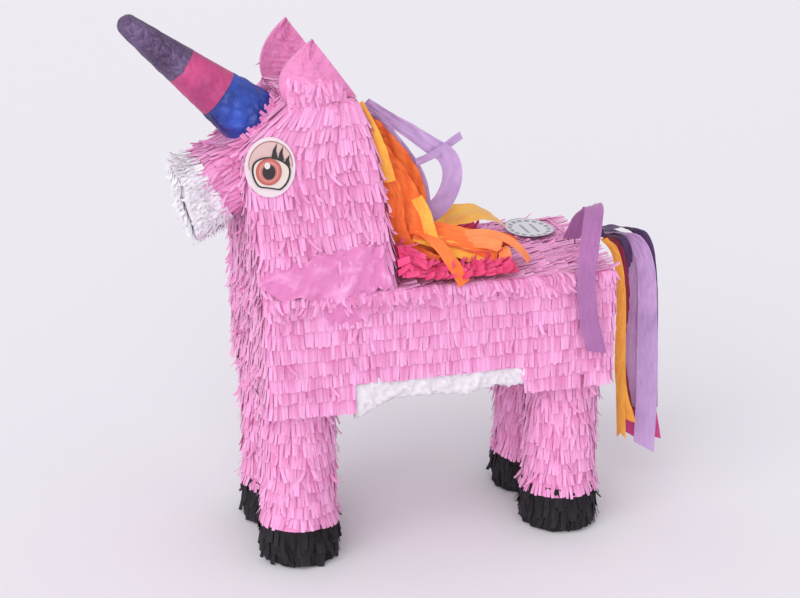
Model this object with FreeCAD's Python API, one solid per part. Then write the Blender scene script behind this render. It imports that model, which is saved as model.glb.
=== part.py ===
"""A unicorn pinata: a hollow carcass of corrugated card, covered in cut tissue fringe.

The nose points along -Y, the animal's left side is +X, and +Z is up. The origin is on the
ground under the middle of the whole outline. All sizes are in millimetres.
"""

import FreeCAD, Part
import math
import os

V = FreeCAD.Vector

# ---- Driving dimensions -------------------------------------------------------------------
card = 3.0                 # corrugated card of every flat panel
fringe = 6.0               # depth of the cut tissue on the card
gap = 0.4                  # clearance round the fill flap

body_front = -171.0        # outside of the chest card
body_length = 372.0
body_width = 192.0
belly_height = 190.0       # underside of the belly card above the ground
body_height = 115.0

leg_radius = 37.0          # outside of a rolled card leg
leg_spacing = 100.0        # between the left and right legs' centres
leg_setback = 37.0         # from the chest or rump card to the leg's centre
hoof_height = 48.0
hoof_floor = 1.0           # crepe under the foot
hoof_fringe = 5.0

neck_width = 176.0         # head box where it stands on the back
head_width = 132.0         # head box at the crown
neck_depth = 135.0         # along Y, where the box stands on the back
face_height = 140.0        # from the back card up to the top of the flat face
face_lean = 11.0           # how far the top of the face stands ahead of the chest
crown_height = 195.0       # crown card above the back card
crown_front = 38.0         # crown's front edge, behind the chest card
crown_length = 63.0
nape_height = 135.0        # where the nape turns in towards the crown
nape_lean = 16.0           # how far that bend stands ahead of the nape's foot

muzzle_width = 80.0
muzzle_round = 15.0        # radius of the muzzle's long edges
muzzle_card = 2.5
muzzle_drop = 30.0         # degrees that the muzzle points below the horizontal
muzzle_length = 64.0       # from the face to the end, along its axis
muzzle_depth = 60.0        # height of the muzzle's section
muzzle_axis_height = 118.0 # where its axis leaves the face, above the back card
nose_upright = 18.0        # degrees that the muzzle's end is turned up towards vertical
white_nose = 34.0          # length of the white end
muzzle_bury = 50.0         # how far the raw tube runs back, to be trimmed by the face
muzzle_past = 20.0         # past the tube's outside, for cutting it into lengths

horn_length = 173.0
horn_base_radius = 32.0
horn_tip_radius = 11.0
horn_angle = 40.0          # degrees above the horizontal
horn_seat = 32.4           # from the face's top edge, up the forehead, to the horn's axis
horn_card = 2.0
horn_paper = 0.8           # coloured wraps
horn_purple = 77.0         # length of the purple wrap, from the tip
horn_pink = 47.0

ear_height = 62.0
ear_length = 74.0
ear_card = 2.0
ear_curl = 60.0            # radius of the cupped ear
ear_bulge_along = 0.12     # where the curved front edge passes, as a share of the length
ear_bulge_up = 0.62        # and of the height
ear_inset = 4.0            # from the crown's edge
ear_behind_crown_front = 30.0
ear_tip_ahead = 10.0       # the tip stands this far ahead of the ear's middle

eye_width = 51.0
eye_height = 60.0
eye_card = 1.2
eye_above_back = 136.0
eye_behind_face = 26.0

belly_band_height = 22.0   # how far the white belly tissue turns up the sides
belly_front_gap = 18.0     # from a leg's rear to the white band
belly_rear_gap = 29.0

saddle_length = 118.0
saddle_thickness = 8.0
saddle_behind_nape = 6.0

flap_length = 58.0         # along Y
flap_width = 74.0
flap_offset = -48.0        # its middle, along X
flap_from_rump = 14.0      # its hinge, ahead of the rump card
label_thickness = 0.6
label_margin = 2.0

ring_wire = 3.0            # wire diameter of the hanging ring
ring_width = 26.0          # between wire centres
ring_reach = 12.0          # straight sides, before the round end
ring_clearance = 0.05      # radial, between the wire and its tab
ring_behind_nape = 81.0
ring_above_saddle = 6.0
tab_width = 20.0
tab_stem = 5.0
tab_barrel = 4.0           # outside radius of the tab round the wire
toggle_length = 34.0
toggle_height = 2.0
anchor_length = 70.0
anchor_width = 50.0

tie_wire = 2.0             # wire staple that holds the tail
tie_width = 20.0
tie_behind_rump = 17.0
tie_above_back = 7.0
tie_clearance = 0.3
tie_leg_run = 28.0
tie_leg_depth = 12.0
knot_radius = 8.0
knot_width = 14.0

tissue_ribbon = 1.2        # a ribbon of folded tissue
ribbon_width = 18.0
streamer_width = 22.0
streamer_from_rump = 30.0  # its front edge, ahead of the rump card
streamer_clearance = 3.0   # off the side fringe
mane_thickness = 14.0
mane_height = 170.0        # how far the mane climbs the nape
mane_width = 96.0
mane_tongue_length = 118.0
mane_tongue_width = 66.0
mane_tongue_overlap = 18.0 # the tongue starts this far inside the drape's edge
mane_loop_gap = 2.5        # from the drape's top to the loop that leaves it

# ---- Places worked out from them -----------------------------------------------------------
body_rear = body_front + body_length
body_half = body_width / 2
back_height = belly_height + body_height
skin_top = back_height + fringe
neck_half, head_half = neck_width / 2, head_width / 2
nape_foot = body_front + neck_depth
leg_places = {
    "front_left": (leg_spacing / 2, body_front + leg_setback),
    "front_right": (-leg_spacing / 2, body_front + leg_setback),
    "rear_left": (leg_spacing / 2, body_rear - leg_setback),
    "rear_right": (-leg_spacing / 2, body_rear - leg_setback),
}
# The head box from the side, from the foot of the face over the crown to the foot of the nape.
head_outline = [
    (body_front, back_height),
    (body_front - face_lean, back_height + face_height),
    (body_front + crown_front, back_height + crown_height),
    (body_front + crown_front + crown_length, back_height + crown_height),
    (nape_foot - nape_lean, back_height + nape_height),
    (nape_foot, back_height),
]
face_top, forehead_top = head_outline[1], head_outline[2]
far = 400.0                # past every outline, for cutting shapes


# ---- Making shapes -------------------------------------------------------------------------
def block(x, y, z):
    """A box from three (low, high) pairs."""
    size = [pair[1] - pair[0] for pair in (x, y, z)]
    return Part.makeBox(*size, V(x[0], y[0], z[0]))


def side_prism(points, x):
    """An outline of (y, z) points, run along X between two places."""
    corners = [V(x[0], y, z) for y, z in points]
    face = Part.Face(Part.makePolygon(corners + corners[:1]))
    return face.extrude(V(x[1] - x[0], 0, 0))


def front_prism(points, y):
    """An outline of (x, z) points, run along Y between two places."""
    corners = [V(x, y[0], z) for x, z in points]
    face = Part.Face(Part.makePolygon(corners + corners[:1]))
    return face.extrude(V(0, y[1] - y[0], 0))


def normals(points):
    """The outward normal of each run of an outline that goes clockwise, seen from the left."""
    found = []
    for (y0, z0), (y1, z1) in zip(points, points[1:]):
        long = math.hypot(y1 - y0, z1 - z0)
        found.append((-(z1 - z0) / long, (y1 - y0) / long))
    return found


def moved_out(points, distance, level_ends):
    """The outline moved outward by a distance. Level ends stay at their own height."""
    out, sides = [], normals(points)
    for i, (y, z) in enumerate(points):
        before, after = sides[max(i - 1, 0)], sides[min(i, len(sides) - 1)]
        if level_ends and i in (0, len(points) - 1):
            out.append((y + distance / before[0], z))
            continue
        share = 1 + before[0] * after[0] + before[1] * after[1]
        out.append((y + distance * (before[0] + after[0]) / share,
                    z + distance * (before[1] + after[1]) / share))
    return out


def band(points, inner, outer, level_ends=True):
    """The closed outline between two offsets of an open one."""
    return moved_out(points, outer, level_ends) + moved_out(points, inner, level_ends)[::-1]


def head_wedge(grow):
    """The tapering space between the head's two sides, moved out by grow."""
    reach = 2 * crown_height
    slope = (neck_half - head_half) / crown_height
    low, high = neck_half + grow, neck_half + grow - slope * reach
    return front_prism([(-low, back_height), (low, back_height),
                        (high, back_height + reach), (-high, back_height + reach)], (-far, far))


def half_width_at(height):
    """Half the head box's width at a height above the back card."""
    return neck_half - (neck_half - head_half) * height / crown_height


def save(name, *shapes):
    shape = shapes[0] if len(shapes) == 1 else Part.makeCompound(list(shapes))
    os.makedirs("parts", exist_ok=True)
    shape.exportStep(f"parts/{name}.step")


def mirrored(shape):
    return shape.mirror(V(0, 0, 0), V(1, 0, 0))


# ---- Torso: six panels of card -------------------------------------------------------------
def flap_space(grow, height):
    """The fill flap's outline on the back, grown by a clearance."""
    hinge = body_rear - flap_from_rump
    return block((flap_offset - flap_width / 2 - grow, flap_offset + flap_width / 2 + grow),
                 (hinge - flap_length - grow, hinge + grow), height)


def tab_stem_space(height):
    y = nape_foot + ring_behind_nape
    return block((-tab_width / 2, tab_width / 2), (y - tab_stem / 2, y + tab_stem / 2), height)


def tie_legs(height=None):
    """The two wire legs that go down through the back, as round rods."""
    y = body_rear + tie_behind_rump - tie_leg_run
    low, high = height or (back_height - tie_leg_depth, back_height + fringe + tie_above_back)
    rods = [Part.makeCylinder(tie_wire / 2, high - low, V(x, y, low)) for x in
            (-tie_width / 2, tie_width / 2)]
    return rods[0].fuse(rods[1])


def torso_panels():
    inside = body_half - card
    left = block((inside, body_half), (body_front, body_rear), (belly_height, back_height))
    save("torso_side_left", left)
    save("torso_side_right", mirrored(left))
    across = (-inside, inside)
    top = block(across, (body_front, body_rear), (back_height - card, back_height))
    for cut in (flap_space(gap, (0, far)), tab_stem_space((0, far)), tie_legs((0, far))):
        top = top.cut(cut)
    save("torso_back_panel", top)
    save("torso_belly_panel",
         block(across, (body_front, body_rear), (belly_height, belly_height + card)))
    between = (belly_height + card, back_height - card)
    save("torso_chest_panel", block(across, (body_front, body_front + card), between))
    save("torso_rump_panel", block(across, (body_rear - card, body_rear), between))


# ---- Head and neck: two sides and one folded strip -----------------------------------------
def head_panels():
    body = side_prism(head_outline, (-far, far))
    side = body.common(head_wedge(0)).cut(head_wedge(-card))
    left = side.common(block((0, far), (-far, far), (0, 2 * far)))
    save("head_side_left", left)
    save("head_side_right", mirrored(left))
    strip = side_prism(band(head_outline, -card, 0), (-far, far))
    save("head_wrap", strip.common(head_wedge(-card)))


# ---- Muzzle: a rolled card tube with an end cap --------------------------------------------
drop = math.radians(muzzle_drop)
along = V(0, -math.cos(drop), -math.sin(drop))
upward = V(0, -math.sin(drop), math.cos(drop))
muzzle_root = V(0, body_front - face_lean * muzzle_axis_height / face_height,
                back_height + muzzle_axis_height)
turn = math.tan(math.radians(nose_upright))


def muzzle_form(grow, start, end):
    """The muzzle's solid outline between two places on its axis, grown by a depth."""
    half, tall = muzzle_width / 2 + grow, muzzle_depth / 2 + grow
    corners = []
    for place, height in ((start, -tall), (start, tall), (end - turn * tall, tall),
                          (end + turn * tall, -tall)):
        point = muzzle_root + along * place + upward * height
        corners.append((point.y, point.z))
    form = side_prism(corners, (-half, half))
    long_edges = [e for e in form.Edges
                  if abs(abs(e.CenterOfMass.x) - half) < 1e-6
                  and abs(abs(e.tangentAt(e.FirstParameter).dot(along)) - 1) < 1e-6]
    return form.makeFillet(muzzle_round + grow, long_edges)


def behind_face(grow):
    """Everything on the head's side of the face and forehead, moved out by grow."""
    points = moved_out(head_outline, grow, True)
    return side_prism(points, (-far, far)).common(head_wedge(grow))


def muzzle_parts():
    inner = muzzle_form(-muzzle_card, -muzzle_bury, muzzle_length - muzzle_card)
    shell = muzzle_form(0, -muzzle_bury, muzzle_length).cut(behind_face(0)).cut(horn_form(0))
    cap = shell.cut(muzzle_form(muzzle_past, -muzzle_bury, muzzle_length - muzzle_card))
    wrap = shell.cut(cap).cut(inner)
    save("muzzle_wrap", wrap)
    save("muzzle_cap", cap)
    skin = muzzle_form(fringe, -muzzle_bury, muzzle_length + fringe)
    for cut in (muzzle_form(0, -muzzle_bury, muzzle_length), behind_face(fringe), horn_form(0)):
        skin = skin.cut(cut)
    split = muzzle_length + fringe - white_nose
    rear = muzzle_form(muzzle_past, -muzzle_bury, split)
    save("muzzle_fringe_pink", skin.common(rear))
    save("muzzle_fringe_white", skin.cut(rear))


# ---- Horn: a rolled card cone with three coloured wraps ------------------------------------
tilt = math.radians(horn_angle)
horn_axis = V(0, -math.cos(tilt), math.sin(tilt))
forehead = math.hypot(forehead_top[0] - face_top[0], forehead_top[1] - face_top[1])
seat_share = horn_seat / forehead
horn_root = V(0, face_top[0] + (forehead_top[0] - face_top[0]) * seat_share,
              face_top[1] + (forehead_top[1] - face_top[1]) * seat_share)
horn_bury = 30.0           # how far the raw cone runs back, to be trimmed by the forehead


def horn_radius(from_root):
    straight = horn_length - horn_tip_radius
    return horn_base_radius + (horn_tip_radius - horn_base_radius) * from_root / straight


def horn_cone(grow, start, end):
    """The horn's outside between two places on its axis, grown by a depth."""
    low, high = horn_radius(start) + grow, horn_radius(end) + grow
    return Part.makeCone(low, high, end - start, horn_root + horn_axis * start, horn_axis)


def horn_form(grow):
    straight = horn_length - horn_tip_radius
    ball = Part.makeSphere(horn_tip_radius + grow, horn_root + horn_axis * straight)
    return horn_cone(grow, -horn_bury, straight).fuse(ball).removeSplitter()


def horn_parts():
    save("horn_core", horn_form(-horn_paper).cut(
        horn_form(-horn_paper - horn_card)).cut(behind_face(0)))
    paper = horn_form(0).cut(horn_form(-horn_paper)).cut(behind_face(0))
    pink_end = horn_length - horn_purple
    blue_end = pink_end - horn_pink
    stretches = {"horn_wrap_blue": (-horn_bury, blue_end), "horn_wrap_pink": (blue_end, pink_end),
                 "horn_wrap_purple": (pink_end, horn_length + horn_tip_radius)}
    for name, (low, high) in stretches.items():
        slice_ = Part.makeCylinder(2 * horn_base_radius, high - low,
                                   horn_root + horn_axis * low, horn_axis)
        save(name, paper.common(slice_))


# ---- Ears: two cupped pieces of card -------------------------------------------------------
ear_middle = body_front + crown_front + ear_behind_crown_front
ear_foot = back_height + crown_height


def ear_form(grow):
    """The left ear, standing on the crown card, with its edges moved out by grow."""
    low, high = ear_middle - ear_length / 2 - grow, ear_middle + ear_length / 2 + grow
    tip = V(0, ear_middle - ear_tip_ahead, ear_foot + ear_height)
    shoulder = V(0, low + ear_length * ear_bulge_along, ear_foot + ear_height * ear_bulge_up)
    front = Part.Arc(V(0, low, ear_foot), shoulder, tip).toShape()
    rest = Part.makePolygon([tip, V(0, high, ear_foot), V(0, low, ear_foot)])
    outline = Part.Face(Part.Wire([front, *rest.Edges])).extrude(V(head_half + ear_height, 0, 0))
    middle = V(head_half - ear_inset - ear_curl, ear_middle, ear_foot)
    outside = Part.makeCylinder(ear_curl + grow, ear_height, middle)
    inside = Part.makeCylinder(ear_curl - ear_card - grow, ear_height, middle)
    return outline.common(outside).cut(inside).common(
        block((0, far), (-far, far), (0, 2 * far)))


def ears():
    left = ear_form(0)
    save("ear_left", left)
    save("ear_right", mirrored(left))


# ---- Eyes: printed card discs glued on the fringe ------------------------------------------
def eyes():
    lean = math.atan2(neck_half - head_half, crown_height)
    outer = half_width_at(eye_above_back) + fringe
    disc = Part.makeCylinder(eye_width / 2, eye_card, V(0, 0, 0), V(0, 0, 1))
    matrix = FreeCAD.Matrix()
    matrix.scale(V(1, eye_height / eye_width, 1))
    disc = disc.transformGeometry(matrix)
    disc.Placement = FreeCAD.Placement(
        V(outer, body_front - face_lean + eye_behind_face - fringe, back_height + eye_above_back),
        FreeCAD.Rotation(V(0, 1, 0), V(-math.sin(lean), 0, math.cos(lean)),
                         V(math.cos(lean), 0, math.sin(lean)), "ZXY"))
    disc = disc.cut(head_wedge(fringe).common(block((-far, far), (-far, far), (0, 2 * far))))
    save("eye_sticker_left", disc)
    save("eye_sticker_right", mirrored(disc))


# ---- Legs: four rolled card tubes, each with a foot disc, fringe and a black hoof -----------
def legs():
    for name, (x, y) in leg_places.items():
        def rod(radius, low, high):
            return Part.makeCylinder(radius, high - low, V(x, y, low))
        sole = hoof_floor + card
        save(f"leg_tube_{name}", rod(leg_radius, sole, belly_height).cut(
            rod(leg_radius - card, sole, belly_height)))
        save(f"foot_disc_{name}", rod(leg_radius, hoof_floor, sole))
        save(f"hoof_{name}", rod(leg_radius + hoof_fringe, 0, hoof_height).cut(
            rod(leg_radius, hoof_floor, hoof_height)))
        save(f"leg_fringe_{name}", rod(leg_radius + fringe, hoof_height, belly_height).cut(
            rod(leg_radius, hoof_height, belly_height)))


# ---- Tissue fringe on the torso ------------------------------------------------------------
white_front = body_front + leg_setback + leg_radius + belly_front_gap
white_rear = body_rear - leg_setback - leg_radius - belly_rear_gap


def torso_fringe():
    outer = body_half + fringe
    white_top = belly_height + belly_band_height
    side = side_prism([
        (body_front, belly_height), (body_front, back_height), (body_rear, back_height),
        (body_rear, belly_height), (white_rear, belly_height), (white_rear, white_top),
        (white_front, white_top), (white_front, belly_height)], (body_half, outer))
    save("torso_fringe_left", side)
    save("torso_fringe_right", mirrored(side))
    across = (-outer, outer)
    save("chest_fringe",
         block(across, (body_front - fringe, body_front), (belly_height, back_height)))
    save("rump_fringe",
         block(across, (body_rear, body_rear + fringe), (belly_height, back_height)))
    trough = block(across, (white_front, white_rear), (belly_height - fringe, white_top))
    save("belly_tissue_white", trough.cut(
        block((-body_half, body_half), (-far, far), (belly_height, back_height))))
    top = block(across, (nape_foot, body_rear + fringe), (back_height, skin_top))
    for cut in (flap_space(gap, (0, far)), tab_stem_space((0, far)), tie_legs((0, far)),
                behind_face(fringe)):
        top = top.cut(cut)
    save("back_fringe", top)


# ---- Tissue fringe on the head -------------------------------------------------------------
def head_fringe():
    sides = side_prism(moved_out(head_outline, fringe, True), (-far, far))
    sides = sides.common(head_wedge(fringe)).cut(head_wedge(0))
    sides = sides.cut(muzzle_form(0, -muzzle_bury, muzzle_length))
    left = sides.common(block((0, far), (-far, far), (0, 2 * far)))
    save("head_fringe_left", left)
    save("head_fringe_right", mirrored(left))
    front = side_prism(band(head_outline[:3], 0, fringe), (-far, far)).common(head_wedge(0))
    for cut in (muzzle_form(0, -muzzle_bury, muzzle_length), horn_form(0)):
        front = front.cut(cut)
    save("face_fringe", front)
    whole = side_prism(band(head_outline, 0, fringe), (-far, far)).common(head_wedge(0))
    rear = whole.cut(side_prism(band(head_outline[:3], 0, fringe), (-far, far)))
    ear = ear_form(0)
    for cut in (ear, mirrored(ear), horn_form(0)):
        rear = rear.cut(cut)
    save("nape_fringe", max(rear.Solids, key=lambda s: s.Volume))


# ---- Saddle --------------------------------------------------------------------------------
saddle_front = nape_foot + fringe + saddle_behind_nape
saddle_top = skin_top + saddle_thickness


def saddle():
    cloth = block((-body_half, body_half), (saddle_front, saddle_front + saddle_length),
                  (skin_top, saddle_top))
    save("saddle_tissue", cloth.cut(tab_stem_space((0, far))))


# ---- Fill flap in the back, with its own fringe and a round label ---------------------------
def fill_flap():
    save("fill_flap", flap_space(0, (back_height - card, back_height)))
    save("flap_fringe", flap_space(0, (back_height, skin_top)))
    long, wide = flap_length / 2 - label_margin, flap_width / 2 - label_margin
    middle = V(flap_offset, body_rear - flap_from_rump - flap_length / 2, skin_top)
    oval = Part.Ellipse(middle + V(wide, 0, 0), middle + V(0, long, 0), middle)
    save("label", Part.Face(Part.Wire(oval.toShape())).extrude(V(0, 0, label_thickness)))


# ---- Hanging ring, its tab and the plate that spreads the pull ------------------------------
ring_y = nape_foot + ring_behind_nape
ring_z = saddle_top + ring_above_saddle


def hanging_ring():
    half, radius = ring_width / 2, ring_wire / 2
    place = V(0, ring_y, ring_z)
    bar = Part.makeCylinder(radius, ring_width, place - V(half, 0, 0), V(1, 0, 0))
    ring = bar
    for x in (-half, half):
        ring = ring.fuse(Part.makeCylinder(radius, ring_reach, place + V(x, 0, 0), V(0, 1, 0)))
        ring = ring.fuse(Part.makeSphere(radius, place + V(x, 0, 0)))
    bow = Part.makeTorus(half, radius, place + V(0, ring_reach, 0), V(0, 0, 1))
    ring = ring.fuse(bow.common(block((-far, far), (ring_y + ring_reach, far), (0, far))))
    save("hanging_ring", ring.removeSplitter())
    barrel = Part.makeCylinder(tab_barrel, tab_width, place - V(tab_width / 2, 0, 0), V(1, 0, 0))
    under_plate = back_height - 2 * card
    tab = barrel.fuse(tab_stem_space((under_plate - toggle_height, ring_z)))
    tab = tab.cut(Part.makeCylinder(radius + ring_clearance, 2 * tab_width,
                                    place - V(tab_width, 0, 0), V(1, 0, 0)))
    toggle = block((-toggle_length / 2, toggle_length / 2), (ring_y - tab_stem, ring_y + tab_stem),
                   (under_plate - toggle_height, under_plate))
    save("ring_tab", tab.fuse(toggle).removeSplitter())
    plate = block((-anchor_length / 2, anchor_length / 2),
                  (ring_y - anchor_width / 2, ring_y + anchor_width / 2),
                  (under_plate, back_height - card))
    save("anchor_plate", plate.cut(tab_stem_space((0, far))))


# ---- Tail: a knot that swings on a wire staple, and its ribbons -----------------------------
tie_y = body_rear + tie_behind_rump
tie_z = skin_top + tie_above_back


def strip(points, x):
    """A ribbon of tissue that follows (y, z) points, between two places along X."""
    half = tissue_ribbon / 2
    return side_prism(band(points, -half, half, level_ends=False), x)


def tail():
    bar = Part.makeCylinder(tie_wire / 2, tie_width, V(-tie_width / 2, tie_y, tie_z), V(1, 0, 0))
    staple = bar.fuse(tie_legs())
    for x in (-tie_width / 2, tie_width / 2):
        run = Part.makeCylinder(tie_wire / 2, tie_leg_run, V(x, tie_y, tie_z), V(0, -1, 0))
        staple = staple.fuse(run)
        for y in (tie_y, tie_y - tie_leg_run):
            staple = staple.fuse(Part.makeSphere(tie_wire / 2, V(x, y, tie_z)))
    save("tail_tie", staple.removeSplitter())
    ball = Part.makeSphere(knot_radius, V(0, tie_y, tie_z), V(1, 0, 0))
    sides = block((-knot_width / 2, knot_width / 2), (-far, far), (0, far))
    bore = Part.makeCylinder(tie_wire / 2 + tie_clearance, 2 * knot_width,
                             V(-knot_width, tie_y, tie_z), V(1, 0, 0))
    knot = ball.common(sides).cut(bore)
    save("tail_knot", knot)
    # Each ribbon: its run behind and below the knot as (y, z), and its middle along X.
    ribbons = [
        ([(5, 3), (32, 1), (55, -12), (70, -40), (76, -90), (78, -165), (75, -266)], 2.0),
        ([(6, 0), (26, -4), (44, -22), (54, -58), (58, -120), (62, -190), (68, -222)], 4.0),
        ([(6, -3), (20, -14), (29, -48), (32, -90), (36, -165), (41, -254)], 0.0),
        ([(5, -5), (16, -22), (22, -60), (25, -120), (30, -200), (35, -240)], -2.0),
    ]
    made = []
    for points, middle in ribbons:
        places = [(tie_y + y, tie_z + z) for y, z in points]
        ribbon = strip(places, (middle - ribbon_width / 2, middle + ribbon_width / 2))
        made.append(ribbon.cut(ball.common(sides)))
    save("tail_ribbons", *[max(r.Solids, key=lambda s: s.Volume) for r in made])


# ---- Mane: bunched tissue down the nape and over the near side of the back ------------------
def mane():
    foot, bend = head_outline[5], head_outline[4]
    share = (mane_height - nape_height) / (crown_height - nape_height)
    crown_rear = head_outline[3]
    top = (bend[0] + (crown_rear[0] - bend[0]) * share,
           bend[1] + (crown_rear[1] - bend[1]) * share)
    nape = band([top, bend, foot], fringe, fringe + mane_thickness, level_ends=True)
    drape = side_prism(nape, (-mane_width / 2, mane_width / 2))
    drape = drape.common(block((-far, far), (-far, far), (saddle_top, 2 * far)))
    start = nape_foot + fringe
    inner_edge = mane_width / 2 - mane_tongue_overlap
    tongue = block((inner_edge, inner_edge + mane_tongue_width),
                   (start, start + mane_tongue_length), (saddle_top, saddle_top + mane_thickness))
    save("mane_tissue", drape.fuse(tongue).removeSplitter())
    # The lilac ribbons that loop out of the mane, as (y, z) from the nape's foot.
    leaves = nape[0][0] - nape_foot + mane_loop_gap
    outer = [(leaves, mane_height - 2), (leaves + 14, mane_height - 18), (66, 136), (86, 112),
             (84, 84), (50, 58)]
    inner = [(6, 128), (36, 112), (58, 96), (56, 70), (44, 34)]
    loops = []
    for points, middle in ((outer, 34.0), (inner, 34.0)):
        places = [(nape_foot + y, back_height + z) for y, z in points]
        loops.append(strip(places, (middle - ribbon_width / 2, middle + ribbon_width / 2)))
    save("mane_ribbons", *loops)


# ---- Rump streamer: one ribbon that arches over the near hip --------------------------------
def rump_streamer():
    half = tissue_ribbon / 2
    clear = body_half + fringe + streamer_clearance
    run = [(14, skin_top + 4), (32, skin_top + 38), (58, skin_top + 50), (86, skin_top + 36),
           (clear - 2, skin_top + 8), (clear + 3, back_height - 30), (clear, back_height - 84)]
    outline = band(run, -half, half, level_ends=False)
    y = body_rear - streamer_from_rump
    save("rump_streamer", front_prism(outline, (y, y + streamer_width)))


torso_panels()
head_panels()
muzzle_parts()
horn_parts()
ears()
eyes()
legs()
torso_fringe()
head_fringe()
saddle()
fill_flap()
hanging_ring()
tail()
mane()
rump_streamer()
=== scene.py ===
"""The looks of a unicorn pinata: cut tissue fringe, wraps, stickers and ribbons on its card carcass."""
import math
import bmesh
import bpy
import numpy as np
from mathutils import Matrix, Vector


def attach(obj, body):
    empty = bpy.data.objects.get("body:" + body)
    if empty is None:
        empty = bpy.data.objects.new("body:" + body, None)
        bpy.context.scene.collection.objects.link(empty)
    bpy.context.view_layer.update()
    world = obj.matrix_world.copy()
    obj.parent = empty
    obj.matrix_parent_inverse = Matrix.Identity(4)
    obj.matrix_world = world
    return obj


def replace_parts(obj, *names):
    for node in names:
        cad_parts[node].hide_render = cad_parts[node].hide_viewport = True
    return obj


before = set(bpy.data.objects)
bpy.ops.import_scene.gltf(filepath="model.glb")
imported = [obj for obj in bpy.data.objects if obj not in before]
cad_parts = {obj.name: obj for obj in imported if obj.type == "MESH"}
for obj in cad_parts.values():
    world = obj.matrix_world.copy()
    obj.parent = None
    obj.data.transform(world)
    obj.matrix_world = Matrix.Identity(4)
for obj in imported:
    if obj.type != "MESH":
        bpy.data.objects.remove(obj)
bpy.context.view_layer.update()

# ---- Camera ---------------------------------------------------------------------------------
# A long lens stands at the front left, a little above the pinata, and looks down at its body.
camera_place = Vector((1.7401, -0.5038, 0.9089))
camera_turn = math.radians(74.05)      # round the pinata, from straight ahead of its nose
camera_rise = math.radians(19.7)
camera = bpy.data.objects.new("camera", bpy.data.cameras.new("camera"))
bpy.context.scene.collection.objects.link(camera)
camera.location = camera_place
towards_camera = Vector((math.sin(camera_turn) * math.cos(camera_rise),
                         -math.cos(camera_turn) * math.cos(camera_rise), math.sin(camera_rise)))
camera.rotation_euler = (-towards_camera).to_track_quat("-Z", "Y").to_euler()
camera.data.lens = 79.9
camera.data.sensor_width = 36.0
bpy.context.scene.camera = camera

# ---- Studio ---------------------------------------------------------------------------------
# The pinata stands on a pale, seamless floor in an even white room. One broad, soft light on the
# camera's side is low enough that the sides are brighter than the back.
def paint(red, green, blue):
    """A colour given as screen values from 0 to 255, for a shader socket."""
    return tuple(((c / 255 + 0.055) / 1.055) ** 2.4 if c > 10 else c / 3295 for c in
                 (red, green, blue)) + (1.0,)


def finish_named(name, roughness=0.8, **uniform):
    """A new material, its node tree and its shader, with the shader's uniform sockets set."""
    material = bpy.data.materials.new(name)
    material.use_nodes = True
    shader = material.node_tree.nodes["Principled BSDF"]
    shader.inputs["Roughness"].default_value = roughness
    for socket, value in uniform.items():
        shader.inputs[socket.replace("_", " ")].default_value = value
    return material, material.node_tree, shader


def node(tree, kind, inputs=None, **settings):
    """A node of a kind such as TexNoise. Its inputs are values, or other nodes' outputs."""
    made = tree.nodes.new("ShaderNode" + kind)
    for setting, value in settings.items():
        setattr(made, setting, value)
    for socket, value in (inputs or {}).items():
        if isinstance(value, bpy.types.NodeSocket):
            tree.links.new(value, made.inputs[socket])
        else:
            made.inputs[socket].default_value = value
    return made


def piece(name, points, faces, material, body=None, smooth=False):
    """A mesh piece from points in the shared frame, riding on a CAD body."""
    mesh = bpy.data.meshes.new(name)
    faces = faces.tolist() if isinstance(faces, np.ndarray) else faces
    mesh.from_pydata(np.asarray(points, float).tolist(), [], faces)
    mesh.materials.append(material)
    mesh.polygons.foreach_set("use_smooth", [smooth] * len(mesh.polygons))
    made = bpy.data.objects.new(name, mesh)
    bpy.context.scene.collection.objects.link(made)
    if body:
        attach(made, body)
    return made


floor_reach = 14.0
floor_finish, tree, shader = finish_named("pale_floor", roughness=0.9, Specular_IOR_Level=0.1)
spread = node(tree, "TexNoise", {"Scale": 3.0, "Detail": 4.0})
tone = node(tree, "ValToRGB", {"Fac": spread.outputs["Fac"]})
tone.color_ramp.elements[0].color = paint(236, 232, 238)
tone.color_ramp.elements[1].color = paint(242, 239, 244)
tree.links.new(tone.outputs["Color"], shader.inputs["Base Color"])
floor = piece("floor", [(-floor_reach, -floor_reach, 0), (floor_reach, -floor_reach, 0),
                        (floor_reach, floor_reach, 0), (-floor_reach, floor_reach, 0)],
              [(0, 1, 2, 3)], floor_finish)

room = bpy.data.worlds.new("room")
room.use_nodes = True
room.node_tree.nodes["Background"].inputs["Color"].default_value = (0.97, 0.97, 1.0, 1.0)
room.node_tree.nodes["Background"].inputs["Strength"].default_value = 0.74
bpy.context.scene.world = room
bpy.context.scene.view_settings.view_transform = "Standard"
key_turn, key_rise = math.radians(52), math.radians(24)
lamp = bpy.data.lights.new("key_light", "SUN")
lamp.energy, lamp.angle = 2.05, math.radians(75)
light = bpy.data.objects.new("key_light", lamp)
bpy.context.scene.collection.objects.link(light)
light.location = Vector((math.sin(key_turn) * math.cos(key_rise),
                         -math.cos(key_turn) * math.cos(key_rise), math.sin(key_rise))) * 3
light.rotation_euler = (-light.location).to_track_quat("-Z", "Y").to_euler()

# ---- Card carcass ---------------------------------------------------------------------------
# The hollow body, head, muzzle and legs are cut from brown corrugated board, folded or rolled,
# and taped. Tissue hides it, except at a cut edge or through the open fill flap.
def grown_noise(tree, scale, stretch=(1, 1, 1), detail=3.0):
    """Noise in the piece's own space, stretched along its axes."""
    where = node(tree, "TexCoord")
    squeezed = node(tree, "Mapping", {"Vector": where.outputs["Object"], "Scale": stretch})
    return node(tree, "TexNoise", {"Vector": squeezed.outputs["Vector"], "Scale": scale,
                                   "Detail": detail})


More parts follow.
